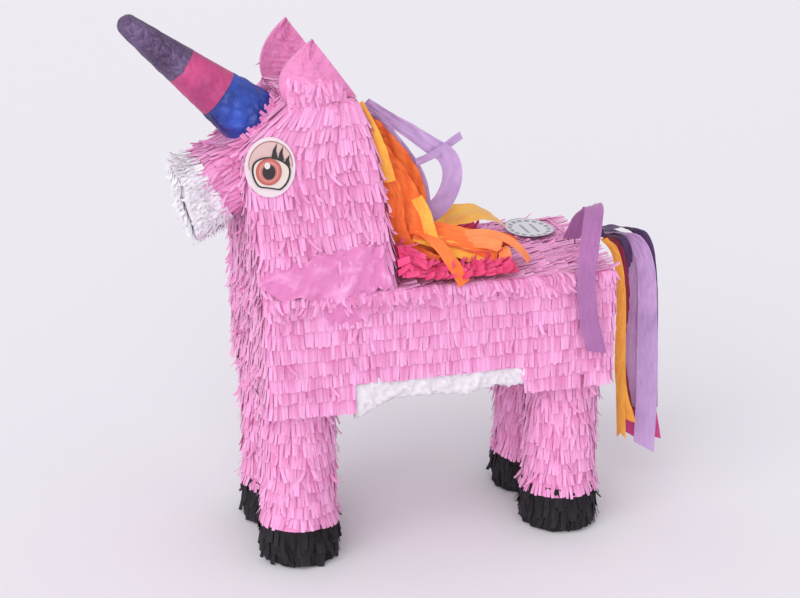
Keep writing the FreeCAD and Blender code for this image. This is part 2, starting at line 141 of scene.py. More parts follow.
card_finish, tree, shader = finish_named("corrugated_card", roughness=0.86)
flutes = node(tree, "TexWave", {"Scale": 62.0, "Distortion": 0.6, "Detail": 1.0},
              bands_direction="Z")
tree.links.new(node(tree, "TexCoord").outputs["Object"], flutes.inputs["Vector"])
fibres = grown_noise(tree, 240.0, (1, 1, 4))
kraft = node(tree, "ValToRGB", {"Fac": fibres.outputs["Fac"]})
kraft.color_ramp.elements[0].color = paint(150, 112, 76)
kraft.color_ramp.elements[1].color = paint(196, 158, 114)
ridges = node(tree, "Math", {0: flutes.outputs["Fac"], 1: fibres.outputs["Fac"]}, operation="ADD")
relief = node(tree, "Bump", {"Height": ridges.outputs["Value"], "Distance": 0.0004,
                             "Strength": 0.6})
tree.links.new(kraft.outputs["Color"], shader.inputs["Base Color"])
tree.links.new(relief.outputs["Normal"], shader.inputs["Normal"])
card_nodes = [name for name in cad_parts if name.startswith(
    ("torso_side", "torso_back", "torso_belly", "torso_chest", "torso_rump", "head_side",
     "head_wrap", "muzzle_wrap", "muzzle_cap", "leg_tube", "foot_disc", "horn_core",
     "fill_flap", "anchor_plate", "ring_tab"))]


def made_of(names, material):
    """Gives CAD nodes a finish."""
    for name in names:
        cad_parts[name].data.materials.clear()
        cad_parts[name].data.materials.append(material)


made_of(card_nodes, card_finish)

# ---- Leg fringe -----------------------------------------------------------------------------
# Each leg is wound with strips of pink tissue, from the hoof up. A strip is glued along its top
# edge and cut into narrow tongues below, so every row hangs over the one under it.
def mixed(tree, share, first, second):
    """The colour between two others, by a share that is a number or another node's output."""
    return node(tree, "Mix", {"Factor": share, 6: first, 7: second}, data_type="RGBA").outputs[2]


def new_group(name, inputs, outputs):
    """An empty shader node group with its sockets made, and its two end nodes."""
    group = bpy.data.node_groups.new(name, "ShaderNodeTree")
    for side, sockets in (("INPUT", inputs), ("OUTPUT", outputs)):
        for label, kind in sockets.items():
            group.interface.new_socket(label, in_out=side, socket_type="NodeSocket" + kind)
    return group, group.nodes.new("NodeGroupInput"), group.nodes.new("NodeGroupOutput")


# Tissue paper: mottled dye, its own shade for each cut tongue (on crumpled sheets and strips, painted
# shade and light that follow their folds), tips painted paler with painted light as if it shone through
# the thin paper, fine crinkles.
paper_group, given, result = new_group(
    "tissue_paper", {"Deep": "Color", "Pale": "Color", "Lit Tip": "Color", "Crinkle Scale": "Float"},
    {"Color": "Color", "Height": "Float", "Roughness": "Float"})
tongue = node(paper_group, "Attribute", attribute_name="tongue").outputs["Fac"]
tip = node(paper_group, "Attribute", attribute_name="tip").outputs["Fac"]
mottle = grown_noise(paper_group, 34.0)
crinkle = grown_noise(paper_group, 300.0, detail=2.0)
paper_group.links.new(given.outputs["Crinkle Scale"], crinkle.inputs["Scale"])
shade = node(paper_group, "Math", {0: tongue, 1: mottle.outputs["Fac"]}, operation="ADD")
share = node(paper_group, "MapRange", {"Value": shade.outputs["Value"], "From Min": 0.35,
                                       "From Max": 1.45})
dyed = mixed(paper_group, share.outputs["Result"], given.outputs["Deep"], given.outputs["Pale"])
# The tongues are painted paler towards their tips: painted light, as if it shone through the thin
# paper.
tip_glow = node(paper_group, "Math", {0: tip, 1: 0.45}, operation="MULTIPLY")
paper_group.links.new(mixed(paper_group, tip_glow.outputs["Value"], dyed, given.outputs["Lit Tip"]),
                      result.inputs["Color"])
paper_group.links.new(crinkle.outputs["Fac"], result.inputs["Height"])
dull = node(paper_group, "MapRange", {"Value": mottle.outputs["Fac"], "To Min": 0.62,
                                      "To Max": 0.85})
paper_group.links.new(dull.outputs["Result"], result.inputs["Roughness"])


def tissue(name, deep, pale, lit_tip, crinkle_scale=320.0, relief=0.0006, sheen=0.25):
    """A tissue paper finish dyed between two colours, with a paler colour painted on the tongues' tips
    as painted light shining through them.
    """
    material, tree, shader = finish_named(name, Sheen_Weight=sheen, Specular_IOR_Level=0.3)
    paper = node(tree, "Group", node_tree=paper_group)
    for socket, value in (("Deep", paint(*deep)), ("Pale", paint(*pale)), ("Lit Tip", paint(*lit_tip)),
                          ("Crinkle Scale", crinkle_scale)):
        paper.inputs[socket].default_value = value
    bump = node(tree, "Bump", {"Height": paper.outputs["Height"], "Distance": relief})
    tree.links.new(paper.outputs["Color"], shader.inputs["Base Color"])
    tree.links.new(paper.outputs["Roughness"], shader.inputs["Roughness"])
    tree.links.new(bump.outputs["Normal"], shader.inputs["Normal"])
    return material


pink_tissue = tissue("pink_tissue", (212, 104, 164), (240, 164, 214), (242, 180, 224))
row_pitch = 0.0155         # from one glued row to the next
tongue_length = 0.0215
tongue_width = 0.0036
tongue_steps = np.array([0.0, 0.22, 0.45, 0.7, 0.88, 1.0])


def waves(rng, count, reach, size):
    """A smooth random curve over a run from 0 to reach, as a function of place."""
    pace = rng.uniform(0.3, 1.0, count) * 2 * math.pi / size
    phase = rng.uniform(0, 2 * math.pi, count)
    return lambda u: np.sin(np.multiply.outer(u * reach, pace) + phase).sum(-1) / count ** 0.5


def spot(x, y, z):
    """Points from their three coordinates, which are numbers or arrays."""
    return np.stack(np.broadcast_arrays(x, y, z), axis=-1)


def grid_faces(tall, wide, closed=False):
    """The faces between a grid's points, row by row. A closed grid's rows are loops."""
    here = np.arange(wide if closed else wide - 1)
    after = (here + 1) % wide
    row = np.stack([here, after, wide + after, wide + here], axis=1)
    return np.concatenate([row + wide * k for k in range(tall - 1)])


def set_shade(made, values, layer="tongue"):
    """Stores a value for every point of a piece, which its tissue finish reads."""
    made.data.attributes.new(layer, "FLOAT", "POINT").data.foreach_set(
        "value", np.asarray(values, np.float32))


def lie_of(surface, f, v):
    """Points of a surface, with the directions along the row, down the tongue and outward."""
    here = surface(f, v)
    along = surface(f + 0.002, v) - surface(f - 0.002, v)
    down = surface(f, v + 0.0005) - surface(f, v - 0.0005)
    along /= np.linalg.norm(along, axis=-1, keepdims=True)
    down /= np.linalg.norm(down, axis=-1, keepdims=True)
    return here, along, down, np.cross(down, along)


def cut_rows(name, surface, length, rows, stands_for, seed, material=pink_tissue,
             body="carcass", keep=None, keep_paper=None, cap=None,
             width=tongue_width, tongue=tongue_length, curl=1.0, mess=1.0, wild=0.07,
             gaps=0.015, backing=(0.0, None)):
    """Rows of cut tissue on a surface(f, v): f runs from 0 to 1 along a row and v down from the
    top, in metres. rows are the places of their top edges, and length is a row's length.
    keep(points) says which tongues the piece has, keep_paper(points) which of the paper under
    them, and cap(points) how far a tongue may stand out. backing is where that paper starts and
    ends, gaps is the share of lost tongues, and wild is the share of bent ones."""
    rng = np.random.default_rng(seed)
    points, faces, tongue_shade, tip_share, total = [], [], [], [], 0

    def add(grid, shade, tip, wide, tall):
        """A block of tongues or bands, each a grid of wide by tall points."""
        nonlocal total
        count = len(grid)
        points.append(grid.reshape(-1, 3))
        start = total + np.arange(count)[:, None, None] * wide * tall
        faces.append((start + grid_faces(tall, wide)).reshape(-1, 4))
        tongue_shade.append(np.repeat(shade, wide * tall))
        tip_share.append(np.tile(np.repeat(tip, wide), count))
        total += count * wide * tall

    for top in rows:
        count = max(int(length / width), 3)
        clump = waves(rng, 5, length, 0.05)
        lift_clump = waves(rng, 5, length, 0.035)
        edge = waves(rng, 4, length, 0.12)
        f = (np.arange(count) + rng.uniform(-0.15, 0.15, count) * mess + 0.5) / count
        f = f[rng.random(count) > gaps]
        root = top + 0.0012 * mess * edge(f) + rng.normal(0, 0.0006 * mess, len(f))
        if keep is not None:
            kept = keep(surface(f, root))
            f, root = f[kept], root[kept]
        if len(f) == 0:
            continue
        odd = rng.random(len(f)) < wild
        reach = tongue * (1 + mess * rng.uniform(-0.06, 0.03, len(f))) * np.where(odd, 0.85, 1.0)
        sway = (0.0010 * clump(f) + rng.normal(0, 0.0005, len(f))) * mess
        sway += np.where(odd, rng.normal(0, 0.004, len(f)), 0)
        rise = 0.0018 + 0.0008 * lift_clump(f) * mess + rng.exponential(0.0006 * curl, len(f))
        rise = np.clip(rise, 0.0012, 0.010) + np.where(odd, rng.uniform(0.001, 0.006, len(f)), 0)
        turn = rng.normal(0, 0.12 * mess, len(f)) + np.where(odd, rng.normal(0, 0.7, len(f)), 0)
        crease = rng.normal(0, 0.10, len(f)) * width
        half = width * rng.uniform(0.48, 0.62, len(f))
        t = tongue_steps[None, :]
        ff = f[:, None] + sway[:, None] / length * t ** 1.6
        vv = root[:, None] + reach[:, None] * t * (1 - 0.10 * t * (rise[:, None] / 0.006))
        here, along, down, out = lie_of(surface, ff, vv)
        height = 0.0010 + rise[:, None] * (0.55 * t + 0.45 * t ** 3)
        if cap is not None:
            height = np.minimum(height, cap(here))
        angle = turn[:, None] * t
        across = along * np.cos(angle)[..., None] + out * np.sin(angle)[..., None]
        middle = here + out * (height + crease[:, None] * (0.3 + 0.7 * t))[..., None]
        spread = (half[:, None] * (1 - 0.16 * t ** 3))[..., None]
        grid = np.stack([here + out * height[..., None] - across * spread, middle,
                         here + out * height[..., None] + across * spread], axis=2)
        add(grid, rng.random(len(f)), tongue_steps, 3, len(tongue_steps))
    # The glued, uncut paper under the tongues.
    first, last = backing
    last = rows[-1] + row_pitch if last is None else last
    across_count = max(int(length / 0.006), 4)
    tall = max(int((last - first) / 0.004), 2) + 1
    f = np.linspace(0, 1, across_count)[None, :]
    v = np.linspace(first, last, tall)[:, None]
    here, _, _, out = lie_of(surface, f + 0 * v, v + 0 * f)
    ripple = waves(rng, 6, 1.0, 0.06)
    sheet = here + out * (0.0006 + 0.0003 * ripple(f + v * 3))[..., None]
    add(sheet[None], np.array([0.5]), np.zeros(tall), across_count, tall)
    points = np.concatenate(points)
    keep_paper = keep_paper or keep
    if keep_paper is not None:
        kept = keep_paper(points)
        faces[-1] = faces[-1][kept[faces[-1]].all(1)]
    # Where its surface stops, a tongue's tip has no direction and so no place. It is left out.
    faces = np.concatenate(faces)
    faces = faces[np.isfinite(points).all(1)[faces].all(1)]
    made = piece(name, points, faces, material, body)
    set_shade(made, np.concatenate(tongue_shade))
    set_shade(made, np.concatenate(tip_share), "tip")
    drop_loose(made)
    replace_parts(made, *stands_for)
    return made


def drop_loose(made):
    """Removes points that no face uses."""
    mesh = made.data
    used = np.zeros(len(mesh.vertices), bool)
    corners = np.zeros(len(mesh.loops), np.int32)
    mesh.loops.foreach_get("vertex_index", corners)
    used[corners] = True
    if used.all():
        return
    work = bmesh.new()
    work.from_mesh(mesh)
    bmesh.ops.delete(work, geom=[v for v in work.verts if not v.link_faces], context="VERTS")
    work.to_mesh(mesh)
    work.free()


leg_radius = 0.037
leg_top, hoof_top = 0.192, 0.044
leg_centres = {"front_left": (0.05, -0.134), "front_right": (-0.05, -0.134),
               "rear_left": (0.05, 0.164), "rear_right": (-0.05, 0.164)}
leg_flare = 0.004          # how much thicker the tissue is at the leg's top
leg_round = 2 * math.pi * 0.04
bottom_row = leg_top - hoof_top - tongue_length * 0.95


def round_leg(centre):
    """The surface of a leg, which widens at its top and over the hoof."""
    def surface(f, v):
        turn = 2 * np.pi * f
        over_hoof = 0.0038 * np.clip((v - leg_top + hoof_top + 0.014) / 0.012, 0, 1)
        radius = leg_radius + 0.0015 + leg_flare * np.clip(1 - v / 0.05, 0, 1) ** 2 + over_hoof
        return spot(centre[0] + radius * np.cos(turn), centre[1] + radius * np.sin(turn),
                    leg_top - v)
    return surface


for seed, (place, centre) in enumerate(leg_centres.items()):
    cut_rows(f"tissue_rows_leg_{place}", round_leg(centre), leg_round,
             np.linspace(0.0, bottom_row, 10), [f"leg_fringe_{place}"], 10 + seed, mess=1.5,
             curl=1.5, wild=0.1, backing=(0.0, leg_top - hoof_top))

# ---- Hooves ---------------------------------------------------------------------------------
# Black crepe paper is gathered round the foot in creased pleats, tucked under the sole, and its
# top is cut into ragged tongues.
black_crepe = tissue("black_crepe", (13, 11, 14), (34, 31, 36), (46, 42, 50), crinkle_scale=420.0,
                     relief=0.0010, sheen=0.0)
hoof_radius = 0.0405


def creased_hoof(name, centre, seed):
    """The gathered crepe, from the sole's middle up round the foot."""
    rng = np.random.default_rng(seed)
    turns, levels = 150, 26
    f = np.linspace(0, 1, turns, endpoint=False)
    turn = 2 * np.pi * f
    pleat = waves(rng, 14, 1.0, 0.05)
    lean = waves(rng, 8, 1.0, 0.2)
    ragged = waves(rng, 16, 1.0, 0.03)
    rings = []
    for level in range(levels):
        t = level / (levels - 1)
        shift = 0.02 * lean(f + 0.3 * t)
        fold = pleat(f + shift) * 0.0011 + pleat(f * 1.7 + 0.4 + t * 0.08) * 0.0006
        if t < 0.3:
            radius = hoof_radius * (t / 0.3) ** 0.8 + fold * (t / 0.3) * 0.6
            height = 0.0004 + 0.0008 * (t / 0.3)
        else:
            up = (t - 0.3) / 0.7
            radius = hoof_radius + 0.0012 * math.sin(up * 3) + fold
            height = 0.0012 + up ** 1.2 * (0.046 + 0.0030 * ragged(f))
        rings.append(spot(centre[0] + radius * np.cos(turn), centre[1] + radius * np.sin(turn),
                          np.maximum(height, 0.0003)))
    made = piece(name, np.concatenate(rings), grid_faces(levels, turns, closed=True), black_crepe,
                 "carcass")
    set_shade(made, 0.5 + 0.35 * np.tile(pleat(f + 0.2), levels))
    return made


def hoof_wall(centre):
    """The upright side of a hoof, from just above its top edge."""
    def surface(f, v):
        turn = 2 * np.pi * f
        radius = hoof_radius + 0.0005
        return spot(centre[0] + radius * np.cos(turn), centre[1] + radius * np.sin(turn),
                    np.maximum(0.050 - v, 0.0008))
    return surface


for seed, (place, centre) in enumerate(leg_centres.items()):
    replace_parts(creased_hoof(f"crepe_hoof_{place}", centre, 40 + seed), f"hoof_{place}")
    cut_rows(f"crepe_rows_hoof_{place}", hoof_wall(centre), 2 * math.pi * hoof_radius,
             [0.0, 0.012, 0.022], [f"hoof_{place}"], 50 + seed, black_crepe,
             width=0.006, tongue=0.024, mess=2.2, wild=0.16, gaps=0.25, backing=(0.004, 0.012))

# ---- Torso fringe ---------------------------------------------------------------------------
# The tissue rows run round the body box, chest and rump. The top row folds over the back's edge,
# and the rows stop at the white belly between the legs.
body_front, body_rear, body_half = -0.1734, 0.2034, 0.0984
body_top, body_bottom = 0.3070, 0.190
corner_round = 0.006
white_front, white_rear, white_top = -0.079, 0.098, 0.212


def wall(side, f, z, front, rear, half, corner=corner_round):
    """A point on one wall of a box with rounded edges, between the middles of its two edges."""
    normal = {"left": (1, 0), "rear": (0, 1), "right": (-1, 0), "front": (0, -1)}[side]
    run = (-normal[1], normal[0])
    long = (rear - front) / 2
    reach, off = (long, half) if normal[0] else (half, long)
    s = (2 * f - 1) * (reach - corner + corner * np.pi / 4)
    bend = np.clip(np.abs(s) - (reach - corner), 0, None) / corner
    along = np.sign(s) * (np.minimum(np.abs(s), reach - corner) + corner * np.sin(bend))
    out = off - corner + corner * np.cos(bend)
    return spot(along * run[0] + out * normal[0],
                (front + rear) / 2 + along * run[1] + out * normal[1], z)


def body_wall(side):
    """A wall of the body box. Above v = 0 it rolls over onto the back."""
    def surface(f, v):
        roll = np.clip(-v / corner_round, 0, np.pi / 2)
        flat = np.clip(-v - corner_round * np.pi / 2, 0, None)
        inward = corner_round * (1 - np.cos(roll)) + flat
        z = np.where(v > 0, body_top - corner_round - v,
                     body_top - corner_round * (1 - np.sin(roll)))
        return wall(side, f, z, body_front + inward, body_rear - inward, body_half - inward)
    return surface


def above_the_belly(clearance):
    """A mask that drops what stands lower than a clearance over the white belly's top edge."""
    def keep(points):
        y = points[..., 1]
        return ~((points[..., 2] < white_top + clearance) & (y > white_front - 0.002)
                 & (y < white_rear + 0.002))
    return keep


body_depth = body_top - body_bottom - 0.008
side_length, end_length = body_rear - body_front, 2 * body_half
for seed, (side, name, length) in enumerate((("left", "torso_fringe_left", side_length),
                                             ("right", "torso_fringe_right", side_length),
                                             ("front", "chest_fringe", end_length),
                                             ("rear", "rump_fringe", end_length))):
    mess, wild = (1.7, 0.13) if side == "front" else (0.9, 0.05)
    cut_rows(f"tissue_rows_body_{side}", body_wall(side), length,
             np.arange(-0.006, body_depth, row_pitch), [name], 70 + seed,
             keep=above_the_belly(0.012) if length == side_length else None,
             keep_paper=above_the_belly(-0.004), mess=mess, curl=mess, wild=wild,
             backing=(-0.012, body_depth))

for side, seed in (("left", 76), ("right", 77)):
    cut_rows(f"tissue_rows_edge_{side}", body_wall(side), side_length, [-0.0075, -0.001], [],
             seed, tongue=0.015, mess=2.6, curl=4.5, wild=0.35, gaps=0.12,
             backing=(-0.008, 0.004))

# ---- White belly ----------------------------------------------------------------------------
# One sheet of white tissue is glued across the belly between the legs and turned up both sides.
# It isn't cut into tongues, and it creases where it was smoothed down.
white_tissue = tissue("white_tissue", (222, 215, 223), (240, 236, 242), (244, 241, 246),
                      crinkle_scale=140.0, relief=0.0008, sheen=0.15)


def crumpled_sheet(name, grid, material, depth, seed, size):
    """A sheet from a grid of points, pushed in and out along its own normals in soft creases. Its
    tissue is painted darker in the hollows and paler on the bulges: painted shade and light.
    """
    rng = np.random.default_rng(seed)
    grid = np.asarray(grid, float)
    tall, wide = grid.shape[:2]
    along = np.gradient(grid, axis=1)
    down = np.gradient(grid, axis=0)
    out = np.cross(down, along)
    out /= np.maximum(np.linalg.norm(out, axis=-1, keepdims=True), 1e-9)
    push = np.zeros((tall, wide))
    for _ in range(22):
        way = rng.normal(size=3)
        way /= np.linalg.norm(way)
        pace = 2 * math.pi / (size * rng.uniform(0.35, 1.6))
        push += (1 - np.abs(np.sin(grid @ way * pace + rng.uniform(0, 6.3)))) ** 2 - 0.35
    grid = grid + out * (push / 22 ** 0.5 * depth)[..., None]
    made = piece(name, grid.reshape(-1, 3), grid_faces(tall, wide), material, "carcass",
                 smooth=True)
    # Painted shade and light: the tissue is darker where the sheet is pushed in and paler where it
    # bulges out.
    set_shade(made, 0.5 + 0.25 * push.ravel())
    return made


belly_out, belly_under = 0.1000, 0.1840
across_half = [(belly_out - 0.0002, white_top + 0.004), (belly_out + 0.001, 0.200),
               (belly_out, 0.1885), (belly_out - 0.004, belly_under)]
section = across_half + [(x, belly_under) for x in np.linspace(0.085, -0.085, 35)]
section = np.array(section + [(-x, z) for x, z in across_half[::-1]])
run = np.concatenate([[0], np.cumsum(np.hypot(*np.diff(section, axis=0).T))])
steps = np.linspace(0, run[-1], 110)
across_belly = np.stack([np.interp(steps, run, section[:, k]) for k in (0, 1)], axis=-1)
places = np.linspace(white_front - 0.004, white_rear + 0.004, 90)
sag = 0.014 * np.exp(-((places - white_front) / 0.020) ** 2) + 0.002 * np.sin(places * 60)
near_edge = np.clip((np.abs(across_belly[:, :1]) - 0.055) / 0.04, 0, 1) * np.clip(
    (0.209 - across_belly[:, 1:]) / 0.020, 0, 1)
grid = spot(across_belly[:, :1], places, across_belly[:, 1:] - sag * near_edge)
belly = crumpled_sheet("white_belly_sheet", grid, white_tissue, 0.0034, seed=90,
                       size=0.030)
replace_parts(belly, "belly_tissue_white")

# ---- Head fringe ----------------------------------------------------------------------------
# The same rows run round the head box. They hang straight down its sides and down the sloping
# forehead, and leave room for the muzzle and the horn. Short rows cover the crown.
neck_foot = 0.305
head_heights = [neck_foot, 0.440, 0.445, 0.500]
face_line = [-0.1734, -0.1840, -0.1846, -0.1358]
nape_line = [-0.0340, -0.0500, -0.0515, -0.0680]
half_line = [0.0902, 0.0750, 0.0744, 0.0682]
crown_top, crown_half = 0.5015, 0.062
leftward = np.array([1.0, 0, 0])
muzzle_root = np.array([0.0, -0.1803, 0.423])
muzzle_drop = math.radians(30)
muzzle_way = np.array([0.0, -math.cos(muzzle_drop), -math.sin(muzzle_drop)])
muzzle_up = np.array([0.0, -math.sin(muzzle_drop), math.cos(muzzle_drop)])
horn_root = np.array([0.0, -0.1604, 0.4692])
horn_rise = math.radians(40)
horn_way = np.array([0.0, -math.cos(horn_rise), math.sin(horn_rise)])
eye_centre = np.array([0.0787, -0.162, 0.441])
eye_size = np.array([0.0255, 0.030])


def head_wall(side):
    """A wall of the head box, with its width and depth at each height."""
    def surface(f, v):
        roll = np.clip(-v / corner_round, 0, np.pi / 2)
        flat = np.clip(-v - corner_round * np.pi / 2, 0, None)
        z = np.where(v > 0, crown_top - corner_round - v,
                     crown_top - corner_round * (1 - np.sin(roll)))
        inward = corner_round * (1 - np.cos(roll)) + flat
        return wall(side, f, z, np.interp(z, head_heights, face_line) + inward,
                    np.interp(z, head_heights, nape_line) - inward,
                    np.interp(z, head_heights, half_line) - inward)
    return surface


def off_the_axis(points, root, way):
    """Distances from a line."""
    away = points - root
    return np.linalg.norm(away - (away @ way)[..., None] * way, axis=-1)


def clear_of_horn(points, off_horn=0.029):
    """Keeps what stands off the horn's axis."""
    return off_the_axis(points, horn_root, horn_way) > off_horn


def clear_of_muzzle_and_horn(tuck):
    """A mask that drops what is inside the muzzle or the horn by more than a tuck."""
    def keep(points):
        away = points - muzzle_root
        inside = (np.abs(away[..., 0]) < 0.038 - tuck) & (np.abs(away @ muzzle_up) < 0.028 - tuck)
        return ~inside & clear_of_horn(points, 0.029 - tuck)
    return keep


def under_the_eye(points):
    """The sticker presses the tongues under it flat."""
    away = (points[..., 1:] - eye_centre[1:]) / (eye_size + 0.003)
    return np.where((away ** 2).sum(-1) < 1, 0.0022, 1.0)


head_rows = np.arange(-0.001, crown_top - neck_foot - 0.010, row_pitch)
flat_front = clear_of_muzzle_and_horn(0.0), clear_of_muzzle_and_horn(0.010)
for seed, (side, name, long) in enumerate((("left", "head_fringe_left", 0.125),
                                           ("right", "head_fringe_right", 0.125),
                                           ("front", "face_fringe", 0.155),
                                           ("rear", "nape_fringe", 0.155))):
    keep, keep_paper = flat_front if side == "front" else (None, None)
    cut_rows(f"tissue_rows_head_{side}", head_wall(side), long, head_rows, [name], 100 + seed,
             keep=keep, keep_paper=keep_paper,
             cap=under_the_eye if side in ("left", "right") else None, tongue=0.0225,
             mess=1.8, curl=1.7, wild=0.13, backing=(-0.012, crown_top - neck_foot - 0.008))


def crown(f, v):
    """The top of the head, from its rear edge forward."""
    return spot((2 * f - 1) * crown_half, -0.074 - v, crown_top + 0.0005)


cut_rows("tissue_rows_crown", crown, 2 * crown_half, np.arange(0, 0.050, row_pitch), [], 110,
         keep=clear_of_horn, mess=1.3, backing=(-0.004, 0.060))

# ---- Neck tissue ----------------------------------------------------------------------------
# Pieces of smooth pink tissue are glued over the joint between the neck and the body, and pulled
# into long soft folds.
smooth_tissue = tissue("pink_tissue_smooth", (216, 126, 182), (244, 172, 220), (242, 178, 220),
                       crinkle_scale=90.0, relief=0.0010)


def four_sided(top, bottom, columns, rows, bow):
    """A grid between two lines of points in millimetres, bowed outward along X."""
    lines = []
    for line in (top, bottom):
        line = np.asarray(line, float) / 1000
        run = np.concatenate([[0], np.cumsum(np.linalg.norm(np.diff(line, axis=0), axis=1))])
        s = np.linspace(0, run[-1], columns)
        lines.append(np.stack([np.interp(s, run, line[:, k]) for k in range(3)], axis=-1))
    t = np.linspace(0, 1, rows)[:, None, None]
    grid = lines[0] * (1 - t) + lines[1] * t
    grid[..., 0] += np.sign(grid[..., 0]) * bow * np.sin(np.pi * t[..., 0])
    return grid


def ragged(grid, seed, depth):
    """The grid with its top and bottom edges torn a little unevenly."""
    rng = np.random.default_rng(seed)
    f = np.linspace(0, 1, grid.shape[1])
    t = np.linspace(-1, 1, grid.shape[0])[:, None]
    tear = np.where(t > 0, waves(rng, 6, 1.0, 0.18)(f), waves(rng, 6, 1.0, 0.18)(f)) * t ** 2
    grid = grid.copy()
    grid[..., 2] -= tear * depth
    return grid


neck_sheets = (
    ("neck_sheet_front", [(88, -178, 335), (90, -138, 345), (89.5, -96, 352), (88.5, -60, 358)],
     [(92.5, -179, 319), (99, -160, 310), (100.5, -138, 306), (101, -104, 298), (99, -70, 306)],
     0.125, 0.038),
    ("neck_sheet_rear", [(90.5, -98, 344), (88.6, -66, 352), (87.6, -50, 357)],
     [(100, -96, 304), (99.6, -64, 308), (98.0, -42, 310)], 0.058, 0.047),
    ("shoulder_sheet", [(100.6, -116, 303), (101.5, -90, 304), (101, -64, 304)],
     [(102, -110, 280), (103.4, -86, 275), (103, -68, 282)], 0.048, 0.028),
)
for seed, (name, top, bottom, wide, tall) in enumerate(neck_sheets):
    grid = ragged(four_sided(top, bottom, 70, 26, 0.002), 94 + seed, 0.0022)
    sheet = crumpled_sheet(name, grid, smooth_tissue, 0.0026,
                           seed=97 + seed, size=0.060)

# ---- Muzzle fringe --------------------------------------------------------------------------
# Rows of pink tongues point along the muzzle from the face, and its end is buried in finer,
# fluffed-up white tissue, which also hangs over the flat nose.
muzzle_half, muzzle_tall, muzzle_round = 0.040, 0.030, 0.015
nose_reach, nose_half = 0.0672, 0.0420
nose_top = muzzle_tall + 0.002
nose_lean = math.tan(math.radians(18))      # how far its lower edge leads, per unit of height
# A nostril slit starts this far from the middle and above the muzzle's axis, and slants outward
# and down by these amounts.
slit_inside, slit_top, slit_spread, slit_drop = 0.018, 0.016, 0.017, 0.020


def rounded_loop(f, half_wide, half_tall, corner):
    """A place on a rounded rectangle, from its top middle round past its +X side."""
    turn = np.linspace(0, np.pi / 2, 9)
    a, b = half_wide - corner, half_tall - corner
    arc_a, arc_b = corner * np.sin(turn), corner * np.cos(turn)
    quarter = np.stack([a + arc_a, b + arc_b], axis=-1)
    ring = np.concatenate([[(0, half_tall)], quarter, quarter[::-1] * (1, -1), -quarter,
                           quarter[::-1] * (-1, 1), [(0, half_tall)]])
    run = np.concatenate([[0], np.cumsum(np.hypot(*np.diff(ring, axis=0).T))])
    s = (f % 1.0) * run[-1]
    return np.interp(s, run, ring[:, 0]), np.interp(s, run, ring[:, 1])


def muzzle_side(f, v, grown=0.001):
    """The muzzle's outside, from the face forward, grown by the tissue under a row."""
    a, b = rounded_loop(f, muzzle_half + grown, muzzle_tall + grown, muzzle_round)
    return (muzzle_root + np.multiply.outer(v + 0 * a, muzzle_way)
            + a[..., None] * leftward + b[..., None] * muzzle_up)


def nose_end(f, v):
    """The muzzle's end, from its top edge down. It leans towards upright."""
    tall = nose_top - v
    out = nose_reach - nose_lean * tall
    return (muzzle_root + np.multiply.outer(out + 0 * f, muzzle_way)
            + np.multiply.outer(tall + 0 * f, muzzle_up)
            + np.multiply.outer((2 * f - 1) * nose_half + 0 * v, leftward))


def ahead_of_face(points, off_horn=0.031):
    """Keeps what stands outside the head box, and off the horn."""
    face = np.interp(points[..., 2], head_heights, face_line)
    return (points[..., 1] < face + 0.001) & clear_of_horn(points, off_horn)


def behind_the_nose(points):
    """Keeps tongues whose tips end before the muzzle's leaning end."""
    from_root = points - muzzle_root
    end = nose_reach - nose_lean * (from_root @ muzzle_up)
    return from_root @ muzzle_way < end - 0.0070


def off_the_slits(points):
    """Keeps tongues that hang clear of the two nostril slits, and of the nose outside them."""
    height = (points - muzzle_root) @ muzzle_up - 0.005
    across = slit_inside + slit_spread * ((slit_top - height) / slit_drop)
    return (np.abs(points[..., 0]) < across - 0.0040) | (height < -0.008) | (height > 0.019)


muzzle_loop = 0.215
cut_rows("tissue_rows_muzzle_pink", muzzle_side, muzzle_loop,
         [-0.016, -0.006, 0.004, 0.012, 0.019], ["muzzle_fringe_pink"], 120, keep=ahead_of_face,
         keep_paper=lambda points: ahead_of_face(points, 0.022), tongue=0.019, mess=1.9,
         curl=1.8, wild=0.2, backing=(-0.02, 0.036))

# The white skin, from its rear edge forward, over the rounded end and in to the nose's middle.
f = np.linspace(0, 1, 140)
skin_start, skin_thick = 0.032, 0.0036
skin = []
for k in range(46):
    along = skin_start + 0.0015 * k
    shrink = max(along - 0.0650, 0) / 0.0345
    a, b = rounded_loop(f, muzzle_half + skin_thick, muzzle_tall + skin_thick, muzzle_round)
    a, b = a * (1 - shrink), b * (1 - shrink)
    lean = nose_lean * b * min((along - skin_start) / 0.032, 1)
    skin.append(muzzle_root + np.multiply.outer(min(along, 0.0675) - lean, muzzle_way)
                + a[:, None] * leftward + b[:, None] * muzzle_up)
skin = crumpled_sheet("white_muzzle_skin", np.array(skin), white_tissue, 0.0009,
                      seed=123, size=0.016)
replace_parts(skin, "muzzle_fringe_white")
cut_rows("tissue_rows_muzzle_white", lambda f, v: muzzle_side(f, v, 0.0030), muzzle_loop,
         np.arange(0.0345, 0.064, 0.0036), ["muzzle_fringe_white"], 121, white_tissue,
         keep=behind_the_nose, width=0.0028, tongue=0.010, mess=2.2, curl=1.3,
         wild=0.3, gaps=0.05, backing=(0.036, 0.044))
cut_rows("tissue_rows_nose", nose_end, 0.074, np.arange(0.0, 0.056, 0.0045),
         ["muzzle_fringe_white"], 122, white_tissue, keep=off_the_slits,
         width=0.0030, tongue=0.0095, mess=1.8, curl=0.9, wild=0.2, gaps=0.05,
         backing=(0.006, 0.054))
